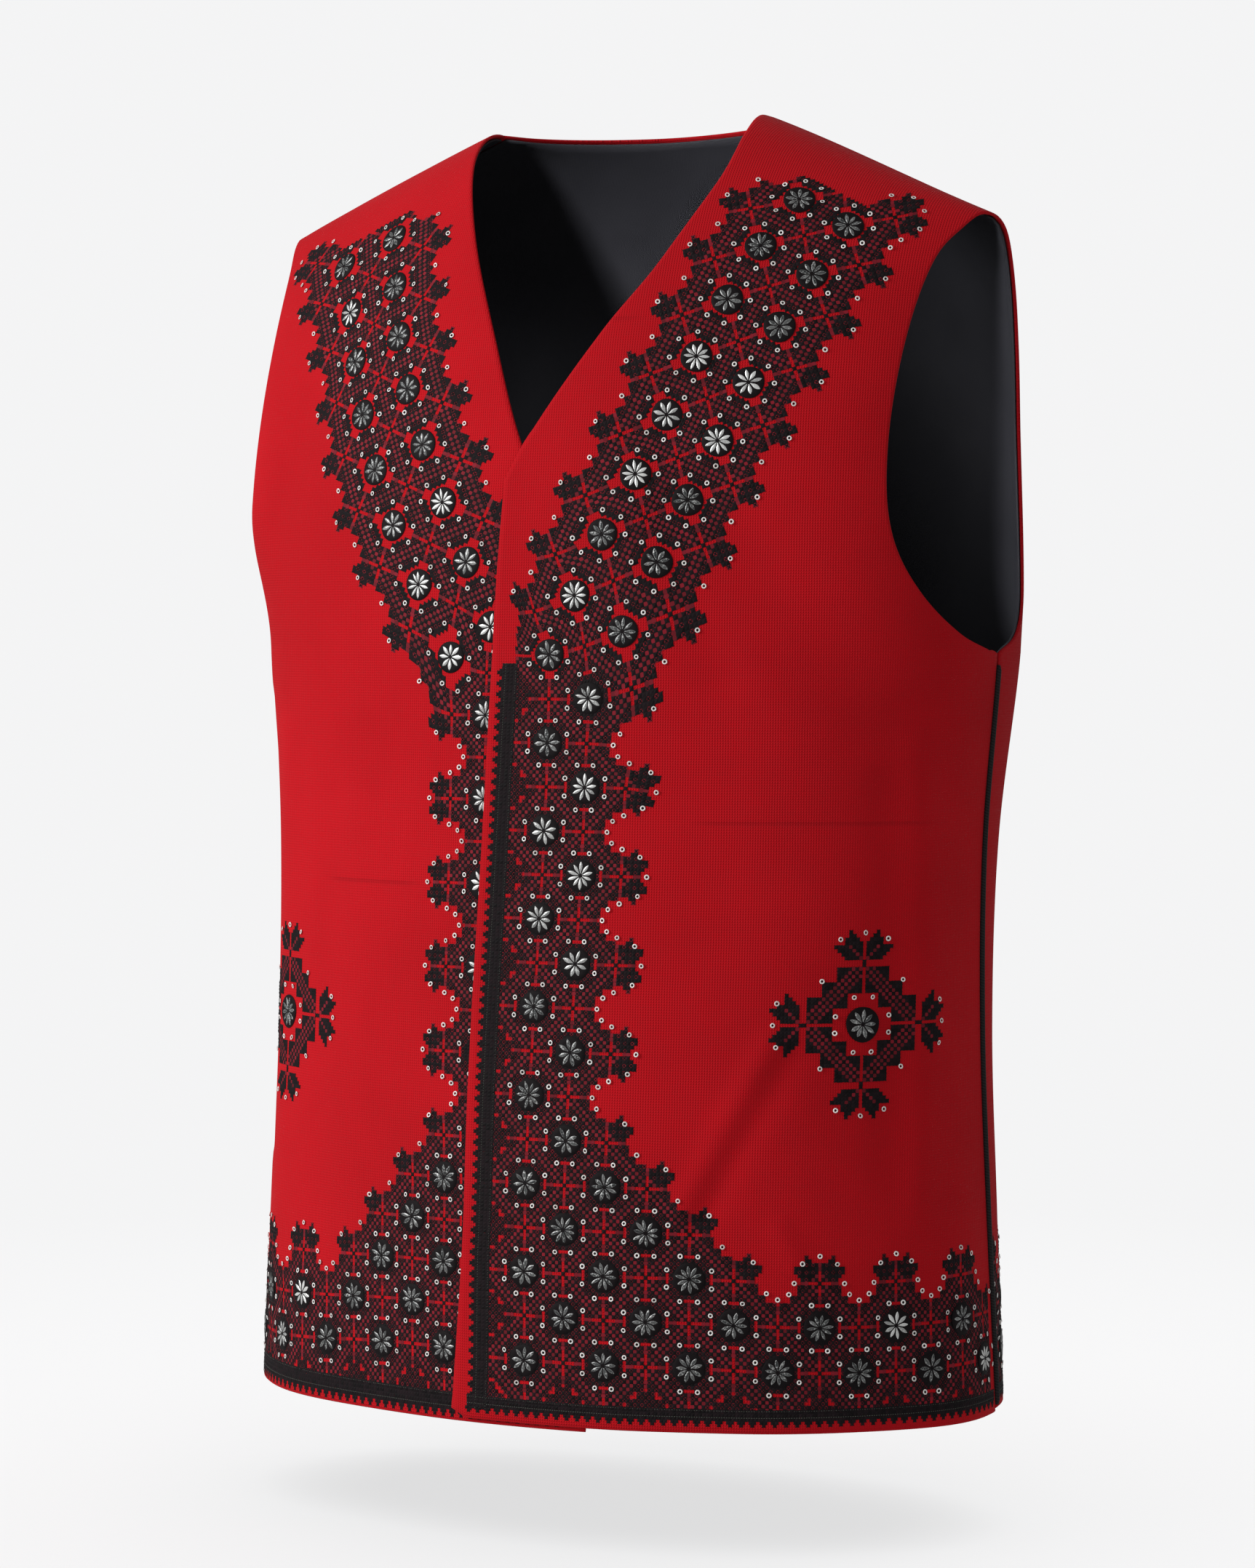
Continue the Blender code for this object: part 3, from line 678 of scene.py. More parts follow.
# the chart: rosettes stand at nodes i, j of a lattice, repeat cells apart, where i + j is odd
cell = 0.001792
repeat = 12
corners = [(-1, -1), (-1, 1), (1, -1), (1, 1)]
beside = [(1, 0), (-1, 0), (0, 1), (0, -1)]
hemRows = {0: (1, 3, 5, 7, 9, 11, 13), 1: (2, 4, 6, 8, 10, 12)}
triangle = {2: (1, 3, 5), 3: (2, 4), 4: (1, 3), 5: (2,)}
column = [(1 + j % 2, j) for j in range(6, 16)]
lowRosettes = [(i, j) for rows in (hemRows, triangle) for j, row in rows.items() for i in row] + column
leaf = np.array([(0.8, 0.6), (5.2, 0.8), (9.0, 3.8), (5.6, 5.4), (4.4, 8.1), (0.9, 5.3)])
bandLeaf = 0.94
openFrom = 16                                           # from this row up the cloth is bare round each rosette


def insideLeaf(p, q, scale):
    # crossing count of a ray against the leaf's outline
    inside = np.zeros(p.shape, bool)
    outline = leaf * scale
    for (ax, ay), (bx, by) in zip(outline, np.roll(outline, -1, axis=0)):
        crosses = (ay > q) != (by > q)
        inside ^= crosses & (p < (bx - ax) * (q - ay) / (by - ay + 1e-12) + ax)
    return inside


def workChart(rosettes, cx, cy, closedLeft):
    # 0 bare, 1 black over plum, 2 and 3 plain black, 4 plum; and the places of the sequins.
    # A border closes the chart below, and on the left up to the row closedLeft
    have = set(rosettes)
    stitch = np.zeros(cx.shape, int)
    slant = np.minimum(*(np.abs((v + repeat) % (2 * repeat) - repeat) for v in (cx + cy, cx - cy)))
    # black and plum by turns, the plum lighter along the diagonals from node to node
    plain = (cx + cy) % 2 == 0
    ground = np.where(plain, 2, np.where(slant <= 1, 4, 1))
    bar = np.where(slant <= 3, ground, 2)               # an open rosette's bars are black along their edges
    leafGround = np.where(plain | (cx % 2 == 1), 2, 1)
    bare, head, faint = (np.zeros(cx.shape, bool) for k in range(3))
    sequins = []
    for i, j in rosettes:
        dx, dy = np.abs(cx - repeat * i), np.abs(cy - repeat * j)
        if j < openFrom:
            block = ((dx <= 11) & (dy <= 6)) | ((dx <= 8) & (dy <= 8)) | ((dx <= 6) & (dy <= 11))
            stitch = np.where(block & (stitch == 0), ground, stitch)
            stitch = np.where(dx**2 + dy**2 < 21, 2, stitch)    # plain black round the petals
        else:                                           # three steps in each quarter, bare inside
            steps = (dx >= 2) & (dx <= 8) & (dy >= 2) & (dy <= 8) & (dx + dy >= 7)
            for a, b, size in ((1, 6, 5), (4, 4, 4), (6, 1, 5)):
                steps |= (dx >= a) & (dx <= a + size) & (dy >= b) & (dy <= b + size)
            stitch = np.where(steps & (stitch == 0), bar, stitch)
        for a, b in ((2.4, 6.1), (6.1, 2.4)):
            sequins += [(repeat * i + a * sx, repeat * j + b * sy) for sx, sy in corners]
        for sx, sy in corners:
            closed = (sy < 0 and j == 0) or (sx < 0 and i == 1 and j <= closedLeft)
            if (i + sx, j + sy) not in have and not closed:
                sequins.append((repeat * i + 8.9 * sx, repeat * j + 9.0 * sy))
    nodes = {(i + a, j + b) for i, j in rosettes for a, b in beside}
    for i, j in sorted(nodes - {(0, closedLeft)}):
        dx, dy = cx - repeat * i, cy - repeat * j
        onLeft, below = i == 0 and j < closedLeft, j == -1
        found = [(a, b) for a, b in beside if (i + a, j + b) in have]
        cornerNode = len(found) == 2 and found[0][0] != -found[1][0]
        for ex, ey in beside:
            if (onLeft and ex < 1) or (below and ey < 1):
                continue
            along, aside = dx * ex + dy * ey, np.abs(dx * ey - dy * ex)
            bare |= (aside == 0) & (along >= 1) & (along <= 6)
            faint |= (aside == 0) & (along >= 4) & (along <= 5)
            head |= (aside == 1) & (along == 2)
            closed = (j <= 0 and ey < 0) or (i <= 1 and ex < 0 and j < closedLeft)
            if (i + ex, j + ey) in have:
                bare |= (aside <= 1) & (along == 6)
            elif not (cornerNode or closed):
                sequins.append((repeat * i + 7.4 * ex, repeat * j + 7.4 * ey))
            if onLeft or below:
                bare |= (aside == 6) & (along >= 1) & (along <= 2)
                bare |= ((aside == 8) & (along == 4)) | ((aside == 9) & (along >= 4) & (along <= 5))
        if onLeft or below:
            continue
        for sx, sy in corners:
            closed = (sx < 0 and i <= 1 and j < closedLeft) or (sy < 0 and j <= 0)
            if (i + sx, j) in have or (i, j + sy) in have or closed:
                continue
            stitch = np.where(insideLeaf(dx * sx, dy * sy, bandLeaf), leafGround, stitch)
            sequins.append((repeat * i + 5.2 * sx, repeat * j + 5.3 * sy))
        stitch = np.where((dx == 0) & (dy == 0), 3, stitch)
    stitch = np.where((cy <= 0) & (stitch == 0), ground, stitch)
    if closedLeft:
        closed = (cx <= repeat) & (cy <= repeat * closedLeft) & (cx + cy <= repeat * closedLeft)
        stitch = np.where(closed & (stitch == 0), ground, stitch)
    stitch = np.where(head & (stitch > 0), 4, stitch)
    stitch = np.where(bare & (stitch != 3), 0, stitch)
    return np.where(faint, 4, stitch), np.array(sequins)


def alongBand(cx, cy, start):
    # k pairs of rosettes up the neckline, and w from its inner row (0) to its outer row (1)
    wide = 2 * repeat
    return (cx - start[0] + cy - start[1]) / wide, (cx - start[0] - cy + start[1]) / wide


def bentMap(body, rows, start, lean):
    # low down the lattice runs with the grain; from k = 0 up it follows the two rows of
    # rosettes along the neckline: inner row + w times (outer row - inner row)
    ks = np.arange(-1, len(rows) - 1)
    rows = np.array(rows)

    def place(cx, cy):
        cx, cy = np.asarray(cx, float), np.asarray(cy, float)
        k, w = alongBand(cx, cy, start)
        side = smoothLine(k, ks, rows[:, 0]), smoothLine(k, ks, rows[:, 1])
        far = smoothLine(k, ks, rows[:, 2]), smoothLine(k, ks, rows[:, 3])
        w = w + 0.12 * (np.maximum(w - 1, 0) + np.minimum(w, 0))    # the leaves outside stand a little wider
        nx, nh = side[0] + w * (far[0] - side[0]), side[1] + w * (far[1] - side[1])
        low = ease(-w, 0.0, 0.5) * (1 - 0.75 * ease(k, 0.5, 6.0))   # the innermost leaves hang lower
        nx, nh = nx - lean * 0.8 * low, nh - lean * low
        bx, bh = body(cx, cy)
        share = ease(k, -0.6, 0.35)
        return bx + (nx - bx) * share, bh + (nh - bh) * share, k

    return place


leftWays = ([-1, 1, 3, 5, 7, 9, 11, 13, 15],
            [-0.0320, 0.0093, 0.0506, 0.0925, 0.1352, 0.1750, 0.2130, 0.2535, 0.2940])
rightWays = ([-1, 1, 3, 5, 7, 9, 11, 13, 15],
             [-0.0410, -0.0010, 0.0388, 0.0790, 0.1195, 0.1610, 0.2020, 0.2430, 0.2840])


def leftBody(cx, cy):
    # way round and height of a cell low down, with a small lean to the edge and to the side seam
    u = smoothLine(cx / repeat, *leftWays)
    h = 0.0300 + 0.02152 * cy / repeat
    return u + 0.0055 * ease(h, 0.10, 0.36) * (1 - ease(u, 0.06, 0.15)), h - 0.0025 * ease(u, 0.08, 0.18)


def rightBody(cx, cy):
    # the same for the right front, whose hem band dips towards the side seam
    u = smoothLine(cx / repeat, *rightWays)
    h = 0.0325 + 0.0208 * cy / repeat
    dip = 0.0075 * ease(u, 0.05, 0.19) * (1 - 0.5 * ease(h, 0.05, 0.10))
    return u + 0.0030 * ease(h, 0.10, 0.18) * (1 - ease(u, 0.06, 0.15)), h - dip


# x and height of the inner and the outer rosette of each pair, up the neckline
leftRows = [(-0.0060, 0.3530, 0.0156, 0.3310), (0.0148, 0.3745, 0.0361, 0.3535),
            (0.0279, 0.4034, 0.0530, 0.3860), (0.0414, 0.4330, 0.0689, 0.4195),
            (0.0565, 0.4622, 0.0822, 0.4498), (0.0700, 0.4910, 0.0955, 0.4784),
            (0.0823, 0.5190, 0.1080, 0.5065), (0.0935, 0.5470, 0.1194, 0.5335),
            (0.1045, 0.5735, 0.1304, 0.5592), (0.1165, 0.5968, 0.1414, 0.5835),
            (0.1290, 0.6160, 0.1525, 0.6050), (0.1420, 0.6300, 0.1640, 0.6230)]
rightRows = [(0.0015, 0.3650, 0.0225, 0.3450), (0.0188, 0.3890, 0.0434, 0.3765),
             (0.0347, 0.4200, 0.0630, 0.4090), (0.0500, 0.4497, 0.0805, 0.4385),
             (0.0645, 0.4785, 0.0945, 0.4665), (0.0772, 0.5066, 0.1062, 0.4944),
             (0.0876, 0.5335, 0.1163, 0.5218), (0.0962, 0.5594, 0.1268, 0.5477),
             (0.1058, 0.5850, 0.1392, 0.5720), (0.1165, 0.6070, 0.1510, 0.5930),
             (0.1280, 0.6250, 0.1620, 0.6100)]
bandStart = {"leftFront": (12, 192), "rightFront": (24, 204)}
bandLast = {"leftFront": 8.42, "rightFront": 7.42}


def frontMap(side, bent):
    # angle and level: by the way round the form low down, by x along the neckline
    def place(cx, cy):
        u, h, k = bent(cx, cy)
        u = side * u
        level = levelAt(u, h)
        low = ease(k, -0.6, 0.35)
        return lookUp(angleTable, tableWay, u, level) * (1 - low) + angleAt(u, level) * low, level

    return place


leftMap = frontMap(1, bentMap(leftBody, leftRows, bandStart["leftFront"], 0.0035))
rightMap = frontMap(-1, bentMap(rightBody, rightRows, bandStart["rightFront"], 0.0))


def wayRound(degrees):
    # way from the centre front round to an angle, near the hem
    return float(lookUp(roundTable, tableAngle, np.array(radians(degrees)), np.array(0.08)))


backSeam, backMiddle = wayRound(92.0), wayRound(180.0)


def backMap(cx, cy):
    # 24 lattice steps from seam to seam, counted from the centre back
    step = (backMiddle - backSeam) / 12
    return fromWay(backMiddle + step * cx / repeat, 0.0290 + 0.02100 * cy / repeat)


def crossMap(x, height):
    # square cells round a middle at x and height
    level = height / form["underarm"]
    middle = float(lookUp(roundTable, tableAngle, angleAt(np.array(x), level), np.array(level)))
    return lambda cx, cy: fromWay(middle + cell * np.asarray(cx, float), height + cell * np.asarray(cy, float))


def frames(panel, place, cx, cy, out=0.0, half=(0.5, 0.5), shift=0.0):
    # middle, cell vectors and normal at places of a chart: steps of half a cell each way, and
    # their cross product turned outwards
    def at(dx, dy):
        return onPanel(panel, *place(cx + dx, cy + dy), form["cloth"] + out)

    centre, normal = at(-shift, 0.0)
    ex = at(half[0], 0.0)[0] - at(-half[0], 0.0)[0]
    ey = at(0.0, half[1])[0] - at(0.0, -half[1])[0]
    n = unit(np.cross(ex, ey))
    return centre, ex, ey, n * np.sign((n * normal).sum(1, keepdims=True))


def pick(arrays, keep):
    # the same entries of several arrays
    return tuple(v[keep] for v in arrays)


def fanFaces(sides):
    # triangles from point 0 to the points 1 to sides round it
    k = np.arange(sides)
    return np.stack([np.zeros(sides, int), 1 + k, 1 + (k + 1) % sides], 1)


stitchLooks = {"height": 0.00040, "outline": 0.00013, "under": 0.00010, "gappy": 0.24, "tight": 0.52,
               "reach": 1.18, "underReach": 1.22}
cellCorners = np.array([(-0.5, -0.5), (0.5, -0.5), (0.5, 0.5), (-0.5, 0.5)])
cellSides = np.array([(0, -1), (1, 0), (0, 1), (-1, 0)], float)


def crossStitches(spots, cover):
    # each stitch a low four-armed star: centre high, arm tips at the cell's corners,
    # notches at its sides, as far out as cover says
    centre, ex, ey, n = spots
    count = len(centre)
    local = np.zeros((count, 9, 3))
    local[:, 1:8:2, :2] = cellCorners * stitchLooks["reach"] * (1 + random.normal(0, 0.03, (count, 4, 1)))
    local[:, 2:9:2, :2] = cellSides * cover[:, None, None]
    local[:, 1:, 2] = stitchLooks["outline"]
    local[:, 0, 2] = stitchLooks["height"] * random.uniform(0.75, 1.15, count)
    local[:, :, :2] += random.normal(0, 0.02, (count, 1, 2))
    points = (centre[:, None] + local[..., :1] * ex[:, None] + local[..., 1:2] * ey[:, None]
              + local[..., 2:] * n[:, None])
    fan = fanFaces(8)
    handed = ((np.cross(ex, ey) * n).sum(1) > 0)[:, None, None]
    fans = np.where(handed, fan, fan[:, ::-1]) + (np.arange(count) * 9)[:, None, None]
    return points.reshape(-1, 3), fans.reshape(-1, 3), np.repeat(random.random(count), 9)


def underShadeSquares(spots):
    # the plum square below a black stitch, a flat square of one cell that stands for the red cloth in the
    # stitch's gaps: painted shade
    centre, ex, ey, n = spots
    corner = cellCorners * stitchLooks["underReach"]
    points = (centre[:, None] + corner[:, :1] * ex[:, None] + corner[:, 1:] * ey[:, None]
              + n[:, None] * stitchLooks["under"])
    handed = ((np.cross(ex, ey) * n).sum(1) > 0)[:, None]
    square = np.arange(4)
    faces = np.where(handed, square, square[::-1]) + (np.arange(len(centre)) * 4)[:, None]
    return points.reshape(-1, 3), faces, np.repeat(random.random(len(centre)), 4)


def bumps(spots, halfX, halfY, high, lift, sides=6):
    # low domes with an oval outline: a fan from the raised middle
    centre, ex, ey, n = spots
    count = len(centre)
    tx = unit(ex)
    ty = np.cross(n, tx)
    turn = np.linspace(0, 2 * pi, sides, endpoint=False)
    ring = (centre[:, None] + tx[:, None] * (halfX * np.cos(turn))[:, None]
            + ty[:, None] * (halfY * np.sin(turn))[:, None] + n[:, None] * (lift - 0.00005))
    points = np.concatenate([(centre + n * (high + lift))[:, None], ring], 1)
    faces = fanFaces(sides) + (np.arange(count) * (sides + 1))[:, None, None]
    return points.reshape(-1, 3), faces.reshape(-1, 3), np.repeat(random.random(count), sides + 1)


rosetteLooks = {"disc": 0.0079, "petal": 0.0066, "inner": 0.0010, "wide": 0.00100, "high": 0.00034,
                "lift": 0.00046, "dull": 0.07, "round": 28, "rows": 6, "cols": 5,
                "rings": [(0.35, 0.00052), (0.7, 0.00050), (0.94, 0.00044), (1.0, 0.00010)]}
sequinLooks = {"middle": 0.00097, "tube": 0.00036, "flat": 0.48, "lift": 0.00058, "tilt": 0.12,
               "round": 10, "section": 5}
knotSize = (0.00052, 0.00052, 0.00034, 0.00022)         # half sizes, height and lift
dotSize = (0.00042, 0.00020, 0.00012, 0.00028)


def rosetteParts(spots, shine, scale):
    # domed black discs, rings of radius and height by rosetteLooks, and on each 8 to 10 petals:
    # half width wide * sin(pi t^1.3)^0.75, with a low ridge
    centre, ex, ey, n = spots
    looks, sides, rows, cols = rosetteLooks, rosetteLooks["round"], rosetteLooks["rows"], rosetteLooks["cols"]
    tx = unit(ex)
    ty = np.cross(n, tx)
    turn = np.linspace(0, 2 * pi, sides, endpoint=False)
    reach, height = np.array(looks["rings"]).T[..., None, None]
    a = 1 + np.arange(3 * sides).reshape(3, sides)
    b = np.roll(a, -1, axis=1)
    discFaces = [fanFaces(sides), np.stack([a, a + sides, b + sides, b], -1).reshape(-1, 4)]
    t, across = np.linspace(0, 1, rows), np.linspace(-1, 1, cols)
    ridge = looks["high"] * np.sin(pi * np.clip(t, 0.04, 0.96))[:, None] ** 0.5 * (1 - across**2) ** 0.6
    # edge: nearness to the petal's sides, which the foil's colour uses to lighten the duller petals' outlines:
    # painted highlight
    edge = np.broadcast_to(np.abs(across) ** 3, (rows, cols)).reshape(-1)
    discs, petals = [], []
    for k in range(len(centre)):
        radius = looks["disc"] * scale * (1 + 0.02 * np.sin(3 * turn + k))
        ring = tx[k] * np.cos(turn)[:, None] + ty[k] * np.sin(turn)[:, None]
        body = centre[k] + ring * radius[:, None] * reach + n[k] * height
        points = np.concatenate([[centre[k] + n[k] * looks["rings"][0][1]], body.reshape(-1, 3)])
        discs.append((points, discFaces, random.uniform(0.0, 0.35, len(points))))
        number = random.integers(8, 11)
        level = shine[k] * random.uniform(0.8, 1.15)
        start = random.uniform(0, 2 * pi)
        for m in range(number):
            way = start + 2 * pi * m / number + random.normal(0, 0.04)
            long = looks["petal"] * scale * random.uniform(0.90, 1.06)
            wide = looks["wide"] * scale * random.uniform(0.85, 1.1) * (9 / number) ** 0.6
            r = looks["inner"] + (long - looks["inner"]) * t
            half = wide * np.sin(pi * np.clip(t, 0.03, 0.98) ** 1.3) ** 0.75
            out = tx[k] * cos(way) + ty[k] * sin(way)
            aside = ty[k] * cos(way) - tx[k] * sin(way)
            grid = (centre[k] + out * r[:, None, None] + aside * (half[:, None] * across)[..., None]
                    + n[k] * (looks["lift"] + ridge)[..., None])
            # glint: each petal's brightness from its rosette's shine, painted into the foil's colour: painted
            # reflection
            glint = np.clip(level * random.uniform(0.6, 1.3) + random.normal(0, 0.05), 0, 1)
            marks = np.stack([np.full(edge.shape, glint), edge], 1)
            petals.append((grid.reshape(-1, 3), gridFaces(rows, cols), marks))
    return discs, petals


def sequinRings(spots):
    # flattened rings, each tipped a little: middle + tube * cos out, tube * flat * sin up
    centre, ex, ey, n = spots
    looks, count = sequinLooks, len(centre)
    tilt = random.normal(0, looks["tilt"], (count, 2))
    tx = unit(ex)
    axis = unit(n + tx * tilt[:, :1] + np.cross(n, tx) * tilt[:, 1:])
    tx = unit(tx - axis * (tx * axis).sum(1, keepdims=True))
    ty = np.cross(axis, tx)
    m, s = looks["round"], looks["section"]
    turn = np.linspace(0, 2 * pi, m, endpoint=False)
    small = np.linspace(0, 2 * pi, s, endpoint=False) + 0.3
    r = looks["middle"] + looks["tube"] * np.cos(small)
    h = looks["tube"] * looks["flat"] * np.sin(small) + looks["lift"]
    size = random.uniform(0.94, 1.06, count)[:, None, None, None]
    ring = tx[:, None] * np.cos(turn)[:, None] + ty[:, None] * np.sin(turn)[:, None]
    points = (centre[:, None, None] + ring[:, :, None] * r[:, None] * size
              + axis[:, None, None] * h[:, None])
    i, j = np.meshgrid(np.arange(m), np.arange(s), indexing="ij")
    i2, j2 = (i + 1) % m, (j + 1) % s
    face = np.stack([i * s + j, i2 * s + j, i2 * s + j2, i * s + j2], -1).reshape(-1, 4)
    faces = (face + (np.arange(count) * m * s)[:, None, None]).reshape(-1, 4)
    tint = np.repeat(np.clip(random.normal(0.8, 0.2, count), 0, 1), m * s)
    return points.reshape(-1, 3), faces, tint


def join(parts):
    # several (points, faces, marks) put in one mesh
    shift, points, faces, marks = 0, [], [], []
    for p, f, m in parts:
        points.append(p)
        faces += [g + shift for g in (f if isinstance(f, list) else [f])]
        marks.append(m)
        shift += len(p)
    return np.concatenate(points), faces, np.concatenate(marks)


# border: rows counted from the cloth's edge inwards, cells counted along it; for each border the
# red margin, the height of a row of teeth and of a solid row, and the number of solid rows
borderLooks = {"hem": (0.0027, 0.0014, 0.0018, 3), "frontEdge": (0.0044, 0.0014, 0.0021, 4),
               "underlap": (0.0010, 0.0016, 0.0020, 4), "corner": 0.0045, "edgeLength": 0.3660,
               "underlapWay": 0.026, "dotPitch": 0.0012}


def borderStitches(panel, place, length, margin, toothRow, solidRow, solidRows):
    # place(along, away) in metres; every third cell a tooth, one cell wide on a foot of two
    c = np.arange(int(length / cell))
    solidFrom = margin + 2 * toothRow
    rows = [(c[c % 3 == 0], margin + toothRow * 0.5, toothRow, 0.46, 0.0),
            (c[c % 3 != 2], margin + toothRow * 1.5, toothRow, 0.5, 0.5 * cell)]
    rows += [(c, solidFrom + solidRow * (r + 0.5), solidRow, 0.5, 0.0) for r in range(solidRows)]
    parts, run = [], []
    for cells, away, tall, cover, shift in rows:
        spots = frames(panel, place, (cells + 0.5) * cell, away, 0.0, (cell / 2, tall / 2), shift)
        parts.append(crossStitches(spots, np.full(len(cells), cover)))
    pitch = borderLooks["dotPitch"]
    dots = np.arange(int(length / pitch)) * pitch + pitch / 2
    for r in (0.9, solidRows - 0.35):
        away = solidFrom + solidRow * r
        centre, n = onPanel(panel, *place(dots, away), form["cloth"])
        ex = onPanel(panel, *place(dots + cell / 2, away), form["cloth"])[0] - centre
        run.append(bumps((centre, ex, ex, n), *dotSize, sides=4))
    return parts, run


def edgeWay(height):
    # cubic through the stations of the left front's edge
    rows = np.array(frontEdge[1])
    return smoothLine(height, rows[:, 1], rows[:, 0])


def borderWay(height):
    # the left front's border runs straighter than its edge, so the red margin widens at the hem
    height = np.asarray(height, float)
    return edgeWay(height) + 0.0042 * (1 - ease(height, 0, 0.09)) - 0.0010 * ease(height, 0.1, 0.36)


def bandEnd(key, cx, cy):
    # past the last pair of rosettes the band along the neckline stops, but for its outer leaves
    if key not in bandStart:
        return np.ones(cx.shape, bool)
    k, w = alongBand(cx, cy, bandStart[key])
    return k < bandLast[key] - 0.35 * ease(-w, 0.25, 0.45) + 2 * ease(w, 1.05, 1.25)


# each chart's place function, rosettes, cells (columns, then rows), lowest height, the middle of its free cross
# motif, and the rosettes whose petals are painted brighter or darker than the rest: painted reflection
charts = {
    "leftFront": {
        "place": leftMap, "closedLeft": 16, "size": (-5, 160, -12, 312), "inner": 0.0098,
        "cross": (0.1628, 0.1958),
        "rosettes": lowRosettes + [(1 + k, 16 + k) for k in range(9)] + [(2 + k, 15 + k) for k in range(1, 9)],
        "shine": {(2, 17): 0.85, (4, 19): 0.9, (5, 20): 0.6, (6, 21): 0.95, (6, 19): 0.9, (7, 20): 0.95,
                  (2, 15): 0.5, (2, 13): 0.7, (1, 12): 0.6, (2, 11): 0.85, (2, 9): 0.7, (1, 10): 0.4,
                  (10, 1): 0.9, (13, 0): 0.9, (1, 14): 0.06, (7, 22): 0.1, (8, 21): 0.1}},
    "rightFront": {
        "place": rightMap, "closedLeft": 16, "size": (0, 172, -14, 318), "inner": 0.0112,
        "cross": (-0.1556, 0.1898),
        "rosettes": (lowRosettes + [(1, 16)] + [(2 + k, 17 + k) for k in range(8)]
                     + [(3 + k, 16 + k) for k in range(8)]),
        "shine": {(2, 17): 0.9, (3, 18): 0.35, (4, 19): 0.85, (3, 16): 0.95, (4, 17): 0.95, (5, 18): 0.4,
                  (9, 22): 0.85, (2, 15): 0.6, (2, 13): 0.8, (2, 11): 0.8, (2, 9): 0.6, (8, 1): 0.85,
                  (9, 0): 0.6}},
    "back": {
        "place": backMap, "closedLeft": 0, "size": (-146, 146, -12, 32), "inner": 0.0098, "cross": None,
        "rosettes": [(i, 0) for i in range(-11, 12, 2)] + [(i, 1) for i in range(-12, 13, 2)], "shine": {}},
}
# the left front's border keeps stitches this far from its line, up to a row; and rings too, at the
# column and between the rows where it ends
besideBorder = {"room": 0.0146, "topRow": 200, "ringColumn": 5.5, "ringRows": (180, 197)}
panelRoom = {"shoulder": 0.0045, "topLevel": 1.97, "frontSeam": 91.2, "backSeam": 92.9, "edge": 0.004,
             "underlap": 0.0020, "underlapTop": 0.05}
sideWay = {"leftFront": wayRound(91.3), "rightFront": wayRound(-91.3), "back": wayRound(92.7),
           "backRight": wayRound(267.3)}


def insidePanel(key, angle, level):
    # inside the panel's outline, with a little room at the seams and edges
    point = formPoint(angle, level)
    h, x = point[..., 2] + form["lengthBack"], point[..., 0]
    room = panelRoom
    front, back = radians(room["frontSeam"]), radians(room["backSeam"])
    ok = (h < shoulderHeight(x) - room["shoulder"]) & (level < room["topLevel"])
    if key == "leftFront":
        ok &= (angle < front) & (x > edgeWay(h) + room["edge"])
    elif key == "rightFront":
        ok &= (angle > -front) & (x < edgeWay(h) + room["underlap"] + room["underlapTop"] * ease(h, 0.40, 0.44))
    else:
        ok &= (angle > back) & (angle < 2 * pi - back)
    return ok


def gridCells(x0, x1, y0, y1):
    # every cell from column x0 to x1 and row y0 to y1
    return [g.reshape(-1) for g in np.meshgrid(np.arange(x0, x1 + 1), np.arange(y0, y1 + 1), indexing="ij")]


crossLooks = {"shine": [0.12], "scale": 1.10, "cover": 0.50,
              "rings": [(2.6, 7.4), (7.7, 2.3), (6.9, 23.1), (23.6, 5.9), (11.6, 11.8)],
              "tips": [(0, 24.8), (0, -24.8), (24.6, 0), (-24.6, 0)]}


def crossMotif(panel, x, height):
    # four stepped quarters with plum squares along their middle, a pair of leaves at each arm
    place = crossMap(x, height)
    gx, gy = gridCells(-26, 26, -26, 26)
    p, q = np.abs(gx), np.abs(gy)
    block = np.zeros(gx.shape, bool)
    for a, b, c, d in ((1, 7, 9, 15), (5, 11, 5, 11), (9, 15, 1, 7)):
        block |= (p >= a) & (p <= b) & (q >= c) & (q <= d)
    plumSquare = ((p + q) % 2 == 0) & (np.abs(p + q - 16) <= 2)
    kind = np.where(block, np.where(plumSquare, 1, 2), 0)
    for along, aside in ((p, q), (q, p)):
        kind = np.where(insideLeaf(along - 16.6, aside, 1.0), 2, kind)
        kind = np.where((along - 17 == aside) & (aside >= 1) & (aside <= 4), 1, kind)
        kind = np.where((along >= 16) & (along <= 17) & (aside == 0), 2, kind)
    gx, gy, kind = pick((gx.astype(float), gy.astype(float), kind), kind > 0)
    spots = frames(panel, place, gx, gy)
    black = pick(spots, kind == 2)
    stitches = crossStitches(black, np.full(len(black[0]), crossLooks["cover"]))
    rings = [(a * sx, b * sy) for a, b in crossLooks["rings"] for sx, sy in corners] + crossLooks["tips"]
    return (stitches, underShadeSquares(pick(spots, kind == 1)), frames(panel, place, *np.array(rings, float).T),
            frames(panel, place, np.zeros(1), np.zeros(1), 0.0001))


def bordersOf(key):
    # where each border of a panel runs, and how long it is; the left front's turns its corner
    if key == "leftFront":
        corner = borderLooks["corner"]
        start = float(borderWay(0.004)) + corner
        return [(lambda s, a: fromWay(start + s, a), sideWay[key] - start, *borderLooks["hem"]),
                (lambda s, a: fromWay(borderWay(s + corner) + a, s + corner), borderLooks["edgeLength"],
                 *borderLooks["frontEdge"])]
    if key == "rightFront":
        start = borderLooks["underlapWay"]
        return [(lambda s, a: fromWay(start - s, a), start - sideWay[key], *borderLooks["underlap"])]
    return [(lambda s, a: fromWay(sideWay["back"] + s, a), sideWay["backRight"] - sideWay["back"],
             *borderLooks["hem"])]


